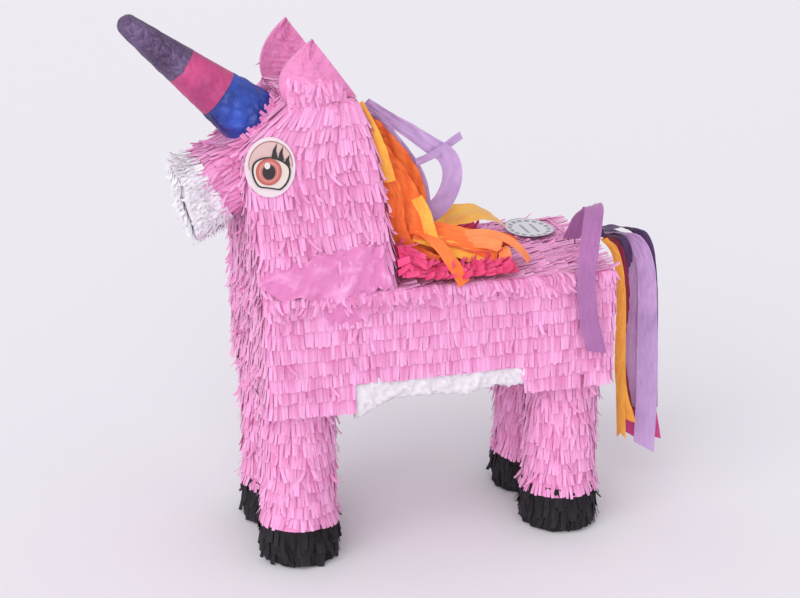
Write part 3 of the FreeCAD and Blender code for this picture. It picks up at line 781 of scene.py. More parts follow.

# Two slits are pressed into the nose. Their darkness is painted shade: a flat, mottled dark grey strip
# stands just in front of the nose over each.
slit_shade_finish, tree, shader = finish_named("nostril_painted_shade", roughness=0.8)
shade_mottle = grown_noise(tree, 220.0)
# The strips are painted a mottled dark grey: the painted shade of the slits.
tree.links.new(mixed(tree, shade_mottle.outputs["Fac"], paint(70, 66, 76), paint(150, 146, 156)),
               shader.inputs["Base Color"])
points, places = [], 9
for side in (-1, 1):
    for t in np.linspace(0, 1, places):
        wide = 0.0024 * math.sin(math.pi * min(max(t, 0.08), 0.92)) + 0.0005
        across, height = slit_inside + slit_spread * t, slit_top - slit_drop * t
        at = nose_end(np.array(0.5 + side * across / (2 * nose_half)), np.array(nose_top - height))
        at = at + muzzle_way * 0.0030
        points += [at - (wide, 0, 0), at + (wide, 0, 0)]
strip = grid_faces(places, 2)
piece("nostril_slits", points, np.concatenate([strip, strip + 2 * places]), slit_shade_finish,
      "carcass", smooth=True)

# ---- Horn -----------------------------------------------------------------------------------
# Three wraps of shiny paper are rolled on the card cone: purple foil crushed over the tip, hot
# pink paper in the middle, and royal blue paper at the forehead. A collar of short pink tongues
# is wound round the foot and hides the joint.
horn_length, horn_base, horn_tip = 0.173, 0.032, 0.011
horn_over = np.cross(leftward, horn_way)
straight = horn_length - horn_tip
forehead_way = np.array([0.0, -0.055, 0.049])
forehead_way /= np.linalg.norm(forehead_way)


def creased_paper(name, deep, pale, roughness, crease_scale, relief, **uniform):
    """Smooth coloured paper or foil with fine, random creases."""
    material, tree, shader = finish_named(name, roughness, **uniform)
    stain = grown_noise(tree, 26.0, detail=5.0)
    tone = node(tree, "MapRange", {"Value": stain.outputs["Fac"], "From Min": 0.3,
                                   "From Max": 0.7})
    tree.links.new(mixed(tree, tone.outputs["Result"], paint(*deep), paint(*pale)),
                   shader.inputs["Base Color"])
    dull = node(tree, "MapRange", {"Value": stain.outputs["Fac"], "To Min": roughness - 0.12,
                                   "To Max": roughness + 0.15})
    tree.links.new(dull.outputs["Result"], shader.inputs["Roughness"])
    where = node(tree, "TexCoord")
    cells = node(tree, "TexVoronoi", {"Vector": where.outputs["Object"], "Scale": crease_scale},
                 feature="DISTANCE_TO_EDGE")
    folds = grown_noise(tree, crease_scale * 1.4, detail=4.0)
    both = node(tree, "Math", {0: cells.outputs["Distance"], 1: folds.outputs["Fac"]},
                operation="ADD")
    bump = node(tree, "Bump", {"Height": both.outputs["Value"], "Distance": relief})
    tree.links.new(bump.outputs["Normal"], shader.inputs["Normal"])
    return material


def horn_wrap(name, start, end, finish, seed, pleats, depth, closed=False):
    """One wrap between two places on the horn's axis. A closed wrap rounds over the tip."""
    rng = np.random.default_rng(seed)
    turns = 120
    f = np.linspace(0, 1, turns, endpoint=False)
    turn = 2 * np.pi * f
    around = np.cos(turn)[:, None] * leftward + np.sin(turn)[:, None] * horn_over
    pleat, crush = waves(rng, 12, 1.0, pleats), waves(rng, 6, 1.0, 0.09)
    ragged = waves(rng, 6, 1.0, 0.5)
    levels = max(int((end - start) / 0.0022), 8)
    rings = []
    for level in range(levels + 1):
        t = level / levels
        s = start + (end - start) * t + 0.0012 * ragged(f) * (1 - t) ** 4 * (start > 0.001)
        base = horn_base + (horn_tip - horn_base) * np.clip(s / straight, 0, 1)
        dome = np.clip((s - straight) / horn_tip, 0, 0.995) if closed else 0 * s
        base = base * np.sqrt(1 - dome ** 2)
        drift = 0.035 * np.sin(5 * t + 2 * f * 2 * np.pi)
        ease = 1.0 if closed else min(1.0, 0.35 + 3 * min(t, 1 - t))
        fold = np.clip(pleat(f + drift) + 0.4 * crush(f + 0.6 * t), -0.7, 2.0) * depth * ease
        tuck = 0.0 if closed else 0.0006 * np.clip((s - end + 0.0045) / 0.0015, 0, 1)
        radius = base + 0.0001 - tuck + fold * np.clip(base / horn_tip, 0.2, 1)
        if start <= 0.001:
            skew = -(around @ forehead_way) * radius / (horn_way @ forehead_way)
            s = s + (skew - 0.002) * (1 - t) ** 1.5
        rings.append(horn_root + np.multiply.outer(s, horn_way) + around * radius[:, None])
    made = piece(name, np.concatenate(rings), grid_faces(levels + 1, turns, closed=True), finish,
                 "carcass", smooth=True)
    if closed:
        work = bmesh.new()
        work.from_mesh(made.data)
        edges = [e for e in work.edges if e.is_boundary and min(
            (np.array(v.co) - horn_root) @ horn_way for v in e.verts) > straight]
        bmesh.ops.contextual_create(work, geom=edges)
        work.to_mesh(made.data)
        work.free()
    return made


purple_foil = creased_paper("purple_foil", (72, 50, 86), (124, 100, 142), 0.34, 110.0, 0.0050,
                            Metallic=0.2)
hot_pink_paper = creased_paper("hot_pink_paper", (164, 52, 112), (206, 74, 130), 0.45, 70.0, 0.0020)
blue_paper = creased_paper("blue_paper", (18, 28, 88), (46, 84, 190), 0.34, 70.0, 0.0020)
purple_start, pink_start = horn_length - 0.077, horn_length - 0.077 - 0.047
lap = 0.003                # how far a wrap is tucked under the next
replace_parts(horn_wrap("blue_wrap", 0.0, pink_start + lap, blue_paper, 130, 0.035,
                      0.0009), "horn_wrap_blue")
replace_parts(horn_wrap("pink_wrap", pink_start, purple_start + lap, hot_pink_paper,
                      131, 0.2, 0.0003), "horn_wrap_pink")
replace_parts(horn_wrap("purple_wrap", purple_start, horn_length - 0.0003, purple_foil,
                      132, 0.14, 0.0005, closed=True), "horn_wrap_purple")


def horn_foot(f, v):
    """The lowest stretch of the horn, from the forehead outward."""
    turn = 2 * np.pi * f + 0 * v
    ring = np.cos(turn)[..., None] * leftward + np.sin(turn)[..., None] * horn_over
    reach = horn_base + 0.0050 - 0.15 * v + 0 * f
    return horn_root + (v + 0 * f)[..., None] * horn_way + reach[..., None] * ring


cut_rows("tissue_rows_horn_foot", horn_foot, 0.22, [-0.005, 0.0], [], 136, tongue=0.0115,
         mess=2.2, wild=0.25, backing=(-0.008, 0.001))

# ---- Ears -----------------------------------------------------------------------------------
# Each ear is a cupped piece of card, covered in smooth pink tissue that puckers into folds at
# the point. A short row of tongues hides its foot.
ear_tissue = tissue("ear_tissue", (212, 112, 168), (236, 150, 200), (236, 156, 204),
                    crinkle_scale=110.0, relief=0.0040)
ear_foot, ear_height, ear_middle, ear_curl = 0.4995, 0.0625, -0.103, 0.060
ear_axis = 0.066 - 0.004 - ear_curl


def ear_outline(t):
    """The front and rear edge of the ear along Y, at a share of its height."""
    front = ear_middle - 0.037 - 0.006 * math.sin(math.pi * t ** 0.8) + 0.027 * t ** 2.6
    rear = ear_middle + 0.037 - 0.047 * t
    return front, rear


def tissue_ear(name, side, seed):
    """The ear's outer and inner tissue as one closed skin."""
    rng = np.random.default_rng(seed)
    tall, wide = 44, 36
    fold = waves(rng, 5, 1.0, 0.16)
    crush = waves(rng, 6, 1.0, 0.12)
    sheets = []
    for out in (0.0012, -0.0032):
        rows = []
        for r in range(tall + 1):
            t = r / tall
            front, rear = ear_outline(min(t, 0.985))
            c = np.linspace(0, 1, wide + 1)
            y = front + (rear - front) * c
            pucker = (fold(c * (1.2 - t)) * 0.0010 * t ** 1.5 + crush(c * 1.6 + t) * 0.0009
                      + crush(t * 2.1 + c * 0.4) * 0.0010 * (1 - t)) * np.sin(np.pi * c)
            reach = ear_curl + out + pucker + 0.0016 * math.sin(math.pi * t)
            x = ear_axis + np.sqrt(reach ** 2 - (y - ear_middle) ** 2)
            rows.append(spot(side * x, y, ear_foot + ear_height * t))
        sheets.append(np.array(rows))
    outer, inner = sheets
    loop = np.concatenate([outer, inner[:, ::-1]], axis=1)
    count = loop.shape[1]
    here = np.arange(wide)
    point = tall * count + np.stack([here, here + 1, count - 2 - here, count - 1 - here], axis=1)
    faces = np.concatenate([grid_faces(tall + 1, count, closed=True), point])
    made = piece(name, loop.reshape(-1, 3), faces, ear_tissue, "carcass",
                 smooth=True)
    set_shade(made, np.full(len(made.data.vertices), 0.5))
    return made


def ear_foot_wall(side):
    """The outside of the ear's foot, spreading onto the head's side below it."""
    def surface(f, v):
        c = f if side > 0 else 1 - f
        y = ear_middle - 0.003 + (2 * c - 1) * 0.033
        z = ear_foot + 0.016 - v
        x = ear_axis + np.sqrt(ear_curl ** 2 - (y - ear_middle) ** 2) + 0.001
        spread = np.clip(v / 0.022, 0, 1)
        x = x + (0.067 - x) * spread ** 1.4
        return spot(side * x, y, z)
    return surface


def before_the_rear_edge(points):
    """Keeps tongues ahead of the ear's sloping rear edge."""
    return points[..., 1] < ear_middle + 0.031 - 0.75 * np.maximum(points[..., 2] - ear_foot, 0)


for seed, (name, side) in enumerate((("left", 1), ("right", -1))):
    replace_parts(tissue_ear(f"tissue_ear_{name}", side, 140 + seed), f"ear_{name}")
    cut_rows(f"tissue_rows_ear_{name}", ear_foot_wall(side), 0.068, [-0.009, 0.0, 0.007], [],
             142 + seed, tongue=0.020, mess=1.9, keep=before_the_rear_edge, curl=1.6, wild=0.2,
             backing=(0.002, 0.012))

# ---- Eyes -----------------------------------------------------------------------------------
# A printed card disc is glued on each side of the head: a white rim, a beige lid, a dark outline
# round the eye, a coral iris, a black pupil with a highlight, and three lashes.
printed_card, tree, shader = finish_named("printed_eye", roughness=0.38, Specular_IOR_Level=0.5)
ink = node(tree, "Attribute", attribute_name="ink")
dots = grown_noise(tree, 900.0)
worn = node(tree, "MapRange", {"Value": dots.outputs["Fac"], "To Min": 0.0, "To Max": 0.04})
tree.links.new(mixed(tree, worn.outputs["Result"], ink.outputs["Color"], paint(232, 224, 226)),
               shader.inputs["Base Color"])
bump = node(tree, "Bump", {"Height": dots.outputs["Fac"], "Distance": 0.00008})
tree.links.new(bump.outputs["Normal"], shader.inputs["Normal"])
ink_layer = 0.00012        # each printed shape stands this far above the last, so none flickers


def set_ink(made, colours):
    """Stores the printed colour of every point."""
    inks = made.data.color_attributes.new("ink", "FLOAT_COLOR", "POINT")
    inks.data.foreach_set("color", np.array(colours).ravel())


def oval(centre, size, count=48, start=0.0, end=360.0):
    """Points round an oval, counted in degrees from its right."""
    turn = np.radians(np.linspace(start, end, count, endpoint=end - start < 360))
    return np.stack([centre[0] + size[0] * np.cos(turn), centre[1] + size[1] * np.sin(turn)],
                    axis=-1)


def smooth_outline(points):
    """A closed outline with its corners cut back three times."""
    points = np.array(points, float)
    for _ in range(3):
        after = np.roll(points, -1, axis=0)
        points = np.stack([points * 0.75 + after * 0.25, points * 0.25 + after * 0.75],
                          axis=1).reshape(-1, 2)
    return points


def lash(foot, tip, wide):
    """The outline of a bowed lash that narrows to its tip."""
    foot, tip = np.array(foot), np.array(tip)
    side = np.array([tip[1] - foot[1], foot[0] - tip[0]])
    side = side / np.linalg.norm(side) * wide
    bow = (foot + tip) / 2 - side * 0.25
    return [foot - side, bow - side * 0.65, tip, bow + side * 0.35, foot + side]


# The print, as shapes in millimetres from the disc's middle: x to the rear and y up.
eye_shape = smooth_outline([(-19.5, -3), (-17.5, 6.5), (-8, 11), (3, 10.5), (13, 6), (20, 0),
                            (20.5, -8), (17, -17), (10.5, -23), (8, -23.5), (-4, -20.5),
                            (-12.5, -19.5), (-17, -13)])
eye_heart = np.array([0.0, -5.5])
eye_print = [
    (oval((0, 0), (25.5, 30.0), 72), (228, 212, 218)),
    (oval((0.5, 2.5), (22.2, 23.6), start=-8, end=188), (150, 92, 84)),
    (oval((0.5, 2.3), (21.5, 22.9), start=-8, end=188), (214, 178, 176)),
    (lash((4.5, 9.0), (8.0, 24.0), 3.4), (24, 20, 22)),
    (lash((11.0, 6.5), (14.0, 20.5), 3.2), (24, 20, 22)),
    (lash((17.0, 1.0), (20.2, 11.5), 3.4), (24, 20, 22)),
    (eye_shape, (24, 20, 22)),
    ((eye_shape - eye_heart) * 0.90 + eye_heart, (222, 208, 200)),
    (oval((-2, -4.0), (13.0, 13.6)), (176, 84, 78)),
    (oval((-2, -4.0), (11.8, 12.4)), (198, 100, 92)),
    (oval((-2, -4.0), (9.8, 10.2)), (212, 140, 132)),
    (oval((-2, -4.2), (8.4, 8.8)), (196, 104, 100)),
    (oval((-2, -4.2), (6.6, 7.6)), (26, 14, 22)),
    (oval((-3.4, 2.2), (2.9, 3.3)), (222, 212, 212)),
]


def eye_sticker(name, side):
    """The disc's card, with the printed shapes stacked on its face."""
    lean = math.atan2(0.022, 0.195)
    up = np.array([-math.sin(lean) * side, 0, math.cos(lean)])
    out = np.array([math.cos(lean) * side, 0, math.sin(lean)])
    rear = np.array([0, 1.0, 0])
    centre = eye_centre * (side, 1, 1) + out * 0.0002
    points, faces, colours = [], [], []

    def put(outline, height, colour):
        """Adds an outline at a height above the bowed disc, and says which points it has."""
        start = len(points)
        flat = np.asarray(outline) / 1000
        bow = height - 2.2 * (flat ** 2).sum(-1)
        points.extend(centre + flat[:, :1] * rear + flat[:, 1:] * up + bow[:, None] * out)
        colours.extend([colour] * len(flat))
        return list(range(start, len(points)))

    thick = 0.0012
    rim = eye_print[0][0]
    low = put(rim, 0.0, (226, 218, 216))
    put(rim, thick, (236, 230, 232))
    faces += grid_faces(2, len(rim), closed=True).tolist()
    faces.append(low[::-1])
    for layer, (outline, colour) in enumerate(eye_print):
        faces.append(put(outline, thick + ink_layer * layer, colour))
    made = piece(name, points, faces, printed_card, "carcass")
    set_ink(made, [paint(*c) for c in colours])
    return made


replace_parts(eye_sticker("eye_print_left", 1), "eye_sticker_left")
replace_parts(eye_sticker("eye_print_right", -1), "eye_sticker_right")

# ---- Back fringe and fill flap --------------------------------------------------------------
# Rows lie across the back with their tongues pointing to the tail. The fill flap carries its own
# rows, so that it can open, and a round paper label is glued on it.
back_level, back_front = 0.3055, -0.032
flap_box = (-0.085, -0.011, 0.129, 0.187)        # the left and right, front and rear edge
flap_width, flap_lead = 0.074, 0.026             # lead: the strip of back in front of it
saddle_box = (-0.096, 0.096, -0.024, 0.094)


def back(f, v):
    """The back, from its left edge to its right and from the nape towards the tail."""
    return spot((1 - 2 * f) * (body_half - 0.002), back_front + v, back_level)


def within(points, box, margin=0.0):
    """Says which points lie over a rectangle of the back."""
    x, y = points[..., 0], points[..., 1]
    return ((x > box[0] - margin) & (x < box[1] + margin)
            & (y > box[2] - margin) & (y < box[3] + margin))


def on_the_back(points):
    """Keeps tongues off the flap and off the strip of back in front of it."""
    return ~within(points, (flap_box[0] - 0.003, flap_box[1] + 0.003, flap_box[2] - flap_lead,
                            flap_box[3] + 0.002))


def off_the_flap(points):
    """Keeps paper off the flap."""
    return ~within(points, flap_box, 0.001)


def under_the_saddle(points):
    """The glued saddle tissue presses the tongues under it flat."""
    return np.where(within(points, saddle_box, 0.004), 0.005, 1.0)


def flap_wide(start):
    """A stretch of the back as wide as the flap, from a place along Y towards the tail."""
    def surface(f, v):
        return spot(flap_box[1] + (flap_box[0] - flap_box[1]) * f, start + v, back_level)
    return surface


back_length = 0.232
cut_rows("tissue_rows_back", back, 2 * body_half, np.arange(0.0, back_length, row_pitch * 0.9),
         ["back_fringe"], 150, keep=on_the_back, keep_paper=off_the_flap, cap=under_the_saddle,
         tongue=0.024, mess=1.6, curl=0.9, wild=0.1, backing=(0.0, back_length))
cut_rows("tissue_rows_before_flap", flap_wide(flap_box[2] - flap_lead), flap_width,
         [0.0, 0.008, 0.015], ["back_fringe"], 152, tongue=0.0095, mess=1.2, backing=(0.0, 0.024))
cut_rows("tissue_rows_flap", flap_wide(flap_box[2]), flap_width, np.arange(0.0, 0.047, 0.009),
         ["flap_fringe"], 151, body="flap", cap=lambda points: 0.0050, tongue=0.0125,
         backing=(0.0, 0.058))

# The label bends up a little at its rim.
label_middle = np.array([-0.048, 0.158, 0.3118])
label_size = np.array([0.0350, 0.0270])
rings, spokes = 28, 96
turn = np.linspace(0, 2 * np.pi, spokes, endpoint=False)
r = (np.arange(1, rings + 1) / rings)[:, None]
x, y = label_size[0] * r * np.cos(turn), label_size[1] * r * np.sin(turn)
lift = 0.0006 + 0.0020 * r ** 6 * (0.6 + 0.4 * np.sin(2 * turn + 0.7))
label_points = label_middle + np.concatenate([[(0, 0, 0.0006)], spot(x, y, lift).reshape(-1, 3)])
dashes = (r > 0.70) & (r < 0.86) & (np.sin(turn * 16) > -0.2)
bars = (np.abs(x) < 0.016) & (np.abs(np.abs(y) - 0.006) < 0.0016)
rim = (r > 0.93) & (r < 0.98)
grey = np.concatenate([[False], (dashes | bars | rim).ravel()])
label_ink = np.where(grey[:, None], paint(150, 146, 158), paint(220, 218, 226))
label_faces = [(0, 1 + k, 1 + (k + 1) % spokes) for k in range(spokes)]
label_faces += (1 + grid_faces(rings, spokes, closed=True)[:, [0, 3, 2, 1]]).tolist()
label = piece("round_label", label_points, label_faces, printed_card, "flap")
set_ink(label, label_ink)
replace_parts(label, "label")

# ---- Hanging ring ---------------------------------------------------------------------------
# A bent steel wire ring turns in a card tab that comes up through the back and lies under the
# mane until the pinata is hung up. The tail's staple is the same kind of wire.
steel_wire, tree, shader = finish_named("steel_wire", roughness=0.32, Metallic=1.0)
drawn = grown_noise(tree, 500.0, (1, 6, 6))
tree.links.new(mixed(tree, drawn.outputs["Fac"], paint(150, 150, 154), paint(196, 196, 200)),
               shader.inputs["Base Color"])
dull = node(tree, "MapRange", {"Value": drawn.outputs["Fac"], "To Min": 0.22, "To Max": 0.45})
tree.links.new(dull.outputs["Result"], shader.inputs["Roughness"])
made_of(("hanging_ring", "tail_tie"), steel_wire)

# ---- Saddle ---------------------------------------------------------------------------------
# Hot pink and red tissue, crushed into short frills, is glued across the back behind the mane.
red_tissue = tissue("red_tissue", (200, 26, 88), (238, 72, 132), (244, 98, 150), 200.0, 0.0010)
saddle_level, saddle_half = 0.3122, 0.099


def saddle_cloth(f, v):
    """The top of the tissue, from left to right and from the neck back. It is heaped up beside
    the mane, most of all at the neck's corners."""
    x, y = (1 - 2 * f) * saddle_half, saddle_box[2] + 0.002 + v
    outer = np.clip((0.104 - np.abs(x)) / 0.022, 0.1, 1)
    pad = 0.009 * np.clip((np.abs(x) - 0.030) / 0.020, 0, 1)
    heap = 0.026 * np.clip((np.abs(x) - 0.062) / 0.012, 0, 1) * np.exp(-((y + 0.028) / 0.024) ** 2)
    return spot(x, y, saddle_level + (pad + heap) * outer)


def off_the_ring(points):
    """Leaves room for the wire ring to lie flat in either direction."""
    return ~within(points, (-0.022, 0.022, 0.010, 0.082))


cut_rows("crushed_saddle", saddle_cloth, 2 * saddle_half, np.arange(-0.013, 0.106, 0.0055),
         ["saddle_tissue"], 160, red_tissue, keep=off_the_ring, width=0.0065,
         tongue=0.012, mess=3.0, curl=3.6, wild=0.55, gaps=0.05, backing=(-0.010, 0.116))

# ---- Mane -----------------------------------------------------------------------------------
# Long strips of orange and yellow tissue are tied at the crown, hang down the nape and fan out
# over the saddle. One lies over the left edge of the back.
orange_tissue = tissue("orange_tissue", (240, 80, 34), (255, 138, 66), (255, 160, 96), 110.0,
                       0.0016)
amber_tissue = tissue("amber_tissue", (236, 142, 40), (255, 196, 84), (252, 204, 120), 110.0,
                      0.0016)
peach_tissue = tissue("peach_tissue", (240, 108, 56), (255, 160, 100), (255, 184, 130), 110.0,
                      0.0016)


def smooth_route(points, count):
    """A smooth line through points, with its places spaced evenly."""
    points = np.asarray(points, float)
    ends = np.concatenate([[2 * points[0] - points[1]], points, [2 * points[-1] - points[-2]]])
    line = []
    for k in range(1, len(ends) - 2):
        a, b, c, d = ends[k - 1:k + 3]
        t = np.linspace(0, 1, 24, endpoint=False)[:, None]
        line.append(0.5 * (2 * b + (c - a) * t + (2 * a - 5 * b + 4 * c - d) * t ** 2
                           + (3 * b - a - 3 * c + d) * t ** 3))
    line = np.concatenate(line + [points[-1:]])
    run = np.concatenate([[0], np.cumsum(np.linalg.norm(np.diff(line, axis=0), axis=1))])
    s = np.linspace(0, run[-1], count)
    return np.stack([np.interp(s, run, line[:, k]) for k in range(points.shape[1])], axis=-1)


def tissue_strip(name, route, across, width, material, body, seed,
                 crush=0.0015, cup=0.0, end="square", narrow=1.0):
    """A long strip of tissue along a route in millimetres. across is the direction of its width, the
    same all the way or one for each point of the route. narrow is the share of its width that it keeps
    where it is bunched at its start. Its tissue is painted lighter and darker along with its folds:
    painted shade and light."""
    rng = np.random.default_rng(seed)
    across = np.asarray(across, float)
    if across.ndim == 1:
        across = np.tile(across, (len(route), 1))
    count, wide = 64, max(9, int(width / 0.0035))
    crush = crush * min(width / 0.030, 1.0)
    both = smooth_route(np.concatenate([np.asarray(route, float) / 1000, across * 0.0001],
                                       axis=1), count)
    line, side = both[:, :3], both[:, 3:]
    long = float(np.linalg.norm(np.diff(line, axis=0), axis=1).sum())
    way = np.gradient(line, axis=0)
    way /= np.linalg.norm(way, axis=1, keepdims=True)
    side = side - (side * way).sum(1, keepdims=True) * way
    side /= np.linalg.norm(side, axis=1, keepdims=True)
    out = np.cross(way, side)
    c = np.linspace(-0.5, 0.5, wide)[None, :]
    t = np.linspace(0, 1, count)[:, None]
    span = width * (narrow + (1 - narrow) * np.clip(t / 0.6, 0, 1))
    ripple = sum((1 - np.abs(np.sin(rng.uniform(0.4, 2.2) * np.pi * c * 2
                                    + rng.uniform(*pace) * t * long / 0.25 + rng.uniform(0, 6.3))))
                 - 0.4 for pace in ((4, 14), (6, 26), (20, 40), (30, 60), (30, 60)))
    ripple = ripple * crush * (1 - 0.65 * t)
    gather = (1 - narrow) * np.sin(c * 2 * np.pi * 3) * np.clip(1 - t / 0.6, 0, 1) * width * 0.12
    lift = ripple + gather + cup * (c * 2) ** 2
    shift = np.zeros_like(c + t)
    if end == "fishtail":
        shift = -0.6 * width * (1 - np.abs(c * 2)) * np.clip((t - 0.9) / 0.1, 0, 1)
    if end == "slant":
        shift = 0.5 * width * c * np.clip((t - 0.9) / 0.1, 0, 1)
    grid = (line[:, None] + side[:, None] * (c * span)[..., None] + out[:, None] * lift[..., None]
            + way[:, None] * shift[..., None])
    made = piece(name, grid.reshape(-1, 3), grid_faces(count, wide), material, body,
                 smooth=True)
    # Painted shade and light: the tissue is lighter and darker along with the strip's folds.
    set_shade(made, 0.6 + 0.2 * ripple.ravel() / max(crush, 1e-6))
    return made


mane_paths = [
    # name, route, width across, width in mm, finish, crush
    ("mane_base", [(0, -64, 472), (0, -48, 446), (0, -32, 404), (0, -22, 364), (0, -4, 336),
                   (0, 30, 328), (4, 66, 327)], (1, 0, 0), 92, "orange", 0.0036),
    ("mane_strip_1", [(30, -54, 468), (32, -32, 444), (36, -10, 410), (40, -4, 384),
                      (44, -6, 358), (48, 10, 342), (50, 42, 336), (56, 82, 330)],
     (0.35, 0.93, 0.1), 30, "orange", 0.0028),
    ("mane_strip_2", [(44, -58, 456), (50, -38, 430), (54, -18, 398), (56, -12, 370),
                      (58, -10, 348), (62, 6, 338), (66, 34, 332), (70, 70, 328)],
     (0.3, 0.95, 0), 30, "orange", 0.0028),
    ("mane_strip_3", [(54, -56, 462), (58, -42, 434), (60, -30, 398), (60, -26, 362),
                      (62, -16, 340), (70, -2, 330), (80, 10, 325)],
     (0.5, 0.85, 0), 18, "orange", 0.0026),
    ("mane_strip_top", [(50, -66, 492), (57, -60, 478), (62, -52, 458), (64, -44, 434),
                        (64, -38, 412)], (0.4, 0.9, 0.1), 18, "amber", 0.0024),
    ("mane_strip_patch", [(60, -6, 392), (64, 2, 376), (66, 6, 360), (68, 10, 346)],
     (0.5, 0.85, 0.1), 13, "amber", 0.0016),
    ("mane_strip_4", [(14, -50, 470), (16, -26, 442), (18, -4, 408), (20, 0, 376),
                      (26, 6, 348), (32, 42, 340), (38, 78, 338), (44, 104, 326)],
     (0.6, 0.8, 0), 32, "orange", 0.0028),
    ("mane_strip_5", [(-10, -52, 466), (-12, -28, 438), (-14, -8, 400), (-14, -4, 364),
                      (-10, 12, 340), (8, 50, 336), (26, 88, 334)],
     (0.9, 0.4, 0), 34, "orange", 0.0028),
    ("mane_strip_6", [(-36, -56, 460), (-38, -34, 430), (-40, -18, 392), (-40, -14, 356),
                      (-38, 4, 334), (-30, 44, 328)], (0.9, -0.4, 0), 34, "orange", 0.0028),
    ("mane_strip_over_edge", [(50, -16, 352), (62, 2, 354), (78, 12, 346), (90, 20, 334),
                              (98, 28, 320), (100.5, 34, 308)],
     (-0.25, 0.95, 0.1), 15, "orange", 0.0012),
    ("mane_strip_low_1", [(58, -8, 352), (67, 16, 344), (76, 44, 331), (81, 74, 318)],
     (0.55, -0.2, -0.8), 15, "amber", 0.0020),
    ("mane_strip_low_2", [(57, -8, 355), (63, 20, 350), (70, 50, 339), (75, 78, 328)],
     (0.6, -0.2, -0.75), 17, "orange", 0.0022),
    ("mane_strip_low_3", [(54, -8, 358), (58, 24, 354), (63, 54, 346), (67, 80, 340)],
     (0.65, -0.2, -0.7), 16, "orange", 0.0020),
    ("mane_strip_curl_1", [(60, 40, 348), (66, 68, 349), (69, 88, 343), (71, 103, 332),
                           (71, 115, 316)], (0.6, -0.3, -0.7), 10, "peach", 0.0010),
    ("mane_strip_curl_2", [(66, 44, 342), (73, 68, 341), (79, 82, 335), (81, 84, 324),
                           (77, 78, 315)],
     [(0.4, -0.2, -0.9), (0.4, 0, -0.8), (0.4, 0.6, -0.4), (0.3, 0.9, 0), (0.3, 0.9, 0.1)],
     13, "peach", 0.0008),
    ("mane_sheet_yellow", [(2, 24, 344), (-2, 50, 350), (-6, 84, 350), (-8, 108, 338)],
     (0.97, 0.15, -0.14), 46, "amber", 0.0016),
]
mane_finish = {"orange": orange_tissue, "amber": amber_tissue, "peach": peach_tissue}
for seed, (name, route, across, width, finish, crush) in enumerate(mane_paths):
    strip = tissue_strip(name, route, across, width / 1000, mane_finish[finish], "carcass",
                         170 + seed, crush=crush,
                         narrow=0.8 if route[0][1] < -40 else 1.0)
    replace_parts(strip, "mane_tissue")

# Three lilac ribbons loop out of the mane.
lilac_tissue = tissue("lilac_tissue", (146, 112, 168), (208, 172, 220), (216, 186, 226), 160.0,
                      0.0006)
for seed, (name, route, across, width, crush) in enumerate((
        ("lilac_loop_outer", [(30, -52, 488), (31, -30, 472), (33, -6, 456), (35, 16, 440),
                              (36, 33, 428), (36, 40, 410), (35, 37, 390), (33, 26, 372),
                              (31, 8, 360)],
         [(0.2, 0.5, 0.8), (0.2, 0.5, 0.8), (0.2, 0.5, 0.8), (0.2, 0.6, 0.75), (0.2, 0.8, 0.5),
          (0.2, 1, 0), (0.2, 0.9, -0.4), (0.2, 0.6, -0.75), (0.2, 0.5, -0.8)], 21, 0.0012),
        ("lilac_loop_inner", [(26, -42, 476), (28, -28, 454), (30, -10, 430), (31, 4, 406),
                              (31, 10, 380), (30, 10, 356)],
         [(0.3, 0.6, 0.7), (0.3, 0.7, 0.6), (0.3, 0.7, 0.6), (0.3, 0.9, 0.3), (0.3, 1, 0),
          (0.3, 1, 0)], 15, 0.0008),
        ("lilac_crossing", [(38, 0, 423), (38, 20, 431), (36, 36, 440), (34, 50, 448)],
         (0.25, -0.4, 0.85), 10, 0.0004))):
    strip = tissue_strip(name, route, across, width / 1000, lilac_tissue, "carcass",
                         185 + seed, crush=crush,
                         narrow=0.55 if name == "lilac_loop_outer" else 1.0)
    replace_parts(strip, "mane_ribbons")

# ---- Rump streamer --------------------------------------------------------------------------
# One mauve tissue ribbon starts under the tail's tie, stands in a loop over the left hip, and
# hangs down the body's side.
mauve_tissue = tissue("mauve_tissue", (134, 78, 138), (180, 118, 172), (196, 148, 196), 200.0,
                      0.0008)
streamer = tissue_strip("mauve_streamer",
                        [(14, 184, 317), (30, 188, 345), (46, 190, 362), (68, 187, 368),
                         (86, 179, 356), (99, 171, 334), (108.5, 165, 302), (111.5, 168, 262),
                         (112.8, 178, 222)],
                        [(0, 1, 0), (0, 1, 0.1), (-0.2, 1, 0.2), (-0.3, 1, 0), (-0.1, 1, 0.1),
                         (0, 1, 0.1), (0, 1, 0), (0, 1, -0.2), (0, 1, -0.3)],
                        0.021, mauve_tissue, "carcass", 190, crush=0.0006,
                        end="slant")
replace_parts(streamer, "rump_streamer")

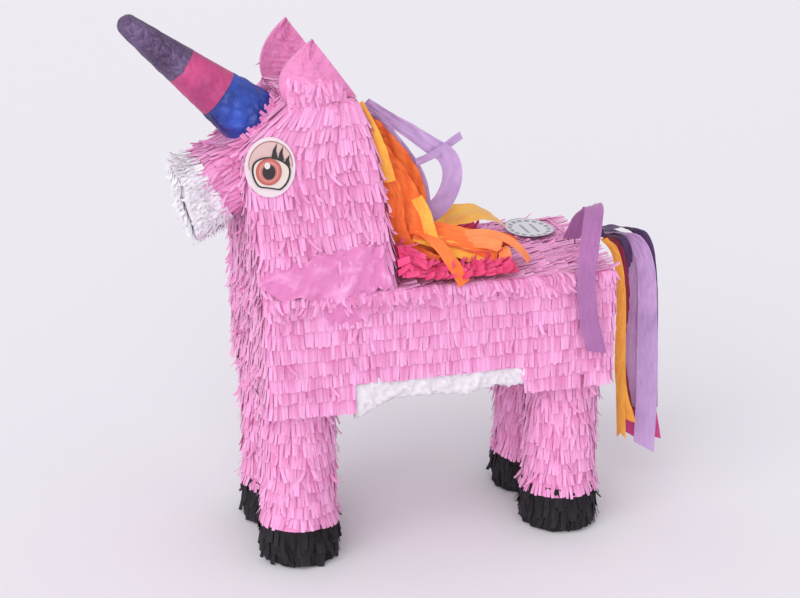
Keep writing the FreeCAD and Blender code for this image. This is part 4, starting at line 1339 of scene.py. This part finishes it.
# ---- Tail -----------------------------------------------------------------------------------
# Long tissue ribbons are knotted round a wire staple in the rump. They arch back from the knot
# and hang down behind the legs.
purple_tissue = tissue("purple_tissue", (62, 40, 76), (98, 66, 116), (120, 88, 140), 160.0, 0.0008)
maroon_tissue = tissue("maroon_tissue", (120, 28, 62), (160, 48, 84), (190, 90, 120), 160.0,
                       0.0008)
magenta_tissue = tissue("magenta_tissue", (190, 50, 120), (220, 84, 150), (236, 150, 190), 160.0,
                        0.0008)
knot_middle = np.array([0.0, 0.218, 0.318])
rng = np.random.default_rng(200)
turns, levels = 40, 24
turn = np.linspace(0, 2 * np.pi, turns, endpoint=False)
lumps = [(rng.normal(size=3), rng.uniform(0, 6.3)) for _ in range(9)]
knot_rings = []
for level in range(levels):
    rise = np.pi * (level + 0.5) / levels
    way = np.stack([np.full(turns, np.cos(rise)), np.sin(rise) * np.cos(turn),
                    np.sin(rise) * np.sin(turn)], axis=-1)
    swell = sum(np.sin(way @ d * 3.2 + phase) for d, phase in lumps) * 0.00045
    twist = 0.0007 * np.sin(3 * turn + 6 * np.cos(rise))
    knot_rings.append(knot_middle + way * (0.0084 + swell + twist)[:, None] * (0.95, 1, 1))
knot_faces = grid_faces(levels, turns, closed=True).tolist()
knot_faces += [list(range(turns))[::-1], list(range((levels - 1) * turns, levels * turns))]
knot = piece("tissue_knot", np.concatenate(knot_rings), knot_faces, purple_tissue, "tail")
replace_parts(knot, "tail_knot")
tail_paths = [
    # name, route, width across, width in mm, finish, cut end
    ("tail_lilac_wide", [(4, 226, 318), (7, 246, 316), (10, 264, 304), (12, 276, 270),
                         (12, 281, 200), (12, 284, 120), (11, 284, 54)],
     [(1, 0.1, 0), (0.9, 0.3, 0.1), (0.6, 0.7, 0.2), (0.4, 0.9, 0.1), (0.3, 0.95, 0),
      (0.35, 0.93, 0), (0.4, 0.9, 0)], 24, "lilac", "slant"),
    ("tail_lilac_inner", [(-2, 225, 316), (-3, 246, 312), (-2, 262, 290), (-1, 268, 230),
                          (0, 270, 160), (2, 282, 96)], (0.7, 0.7, 0), 20, "lilac", "slant"),
    ("tail_purple", [(4, 226, 322), (4, 250, 321), (3, 274, 306), (2, 284, 262),
                     (0, 289, 180), (-1, 293, 104)], (0.6, 0.8, 0), 20, "purple", "slant"),
    ("tail_purple_inner", [(0, 226, 314), (-2, 250, 302), (-6, 262, 262), (-8, 272, 190),
                           (-8, 276, 130)], (0.5, 0.8, 0), 20, "purple", "square"),
    ("tail_orange", [(3, 225, 310), (4, 240, 296), (6, 248, 250), (6, 252, 150), (6, 257, 66)],
     (0.8, 0.6, 0), 12, "amber", "fishtail"),
    ("tail_orange_short", [(8, 225, 311), (9, 240, 290), (9, 248, 240), (6, 253, 140),
                           (4, 268, 86)], (0.6, 0.7, 0), 13, "amber", "slant"),
    ("tail_maroon", [(-4, 225, 312), (-6, 246, 296), (-8, 258, 240), (-8, 264, 150),
                     (-6, 276, 96)], (0.6, 0.8, 0), 17, "maroon", "square"),
    ("tail_pink", [(-6, 225, 312), (-9, 250, 300), (-11, 270, 250), (-10, 274, 150),
                   (-8, 276, 62)], (0.5, 0.8, 0), 17, "magenta", "slant"),
    ("tail_magenta", [(-6, 226, 314), (-10, 250, 304), (-14, 272, 262), (-12, 284, 170),
                      (-4, 304, 58)], (0.4, 0.9, 0), 14, "magenta", "slant"),
]
tail_finish = {"lilac": (lilac_tissue, "lilac_tissue"),
               "purple": (purple_tissue, "purple_tissue"),
               "amber": (amber_tissue, "orange_tissue"),
               "maroon": (maroon_tissue, "red_tissue"),
               "magenta": (magenta_tissue, "red_tissue")}
for seed, (name, route, across, width, finish, end) in enumerate(tail_paths):
    strip = tissue_strip(name, route, across, width / 1000, tail_finish[finish][0], "tail",
                         201 + seed, crush=0.0008, end=end, cup=-0.001,
                         narrow=0.7)
    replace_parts(strip, "tail_ribbons")
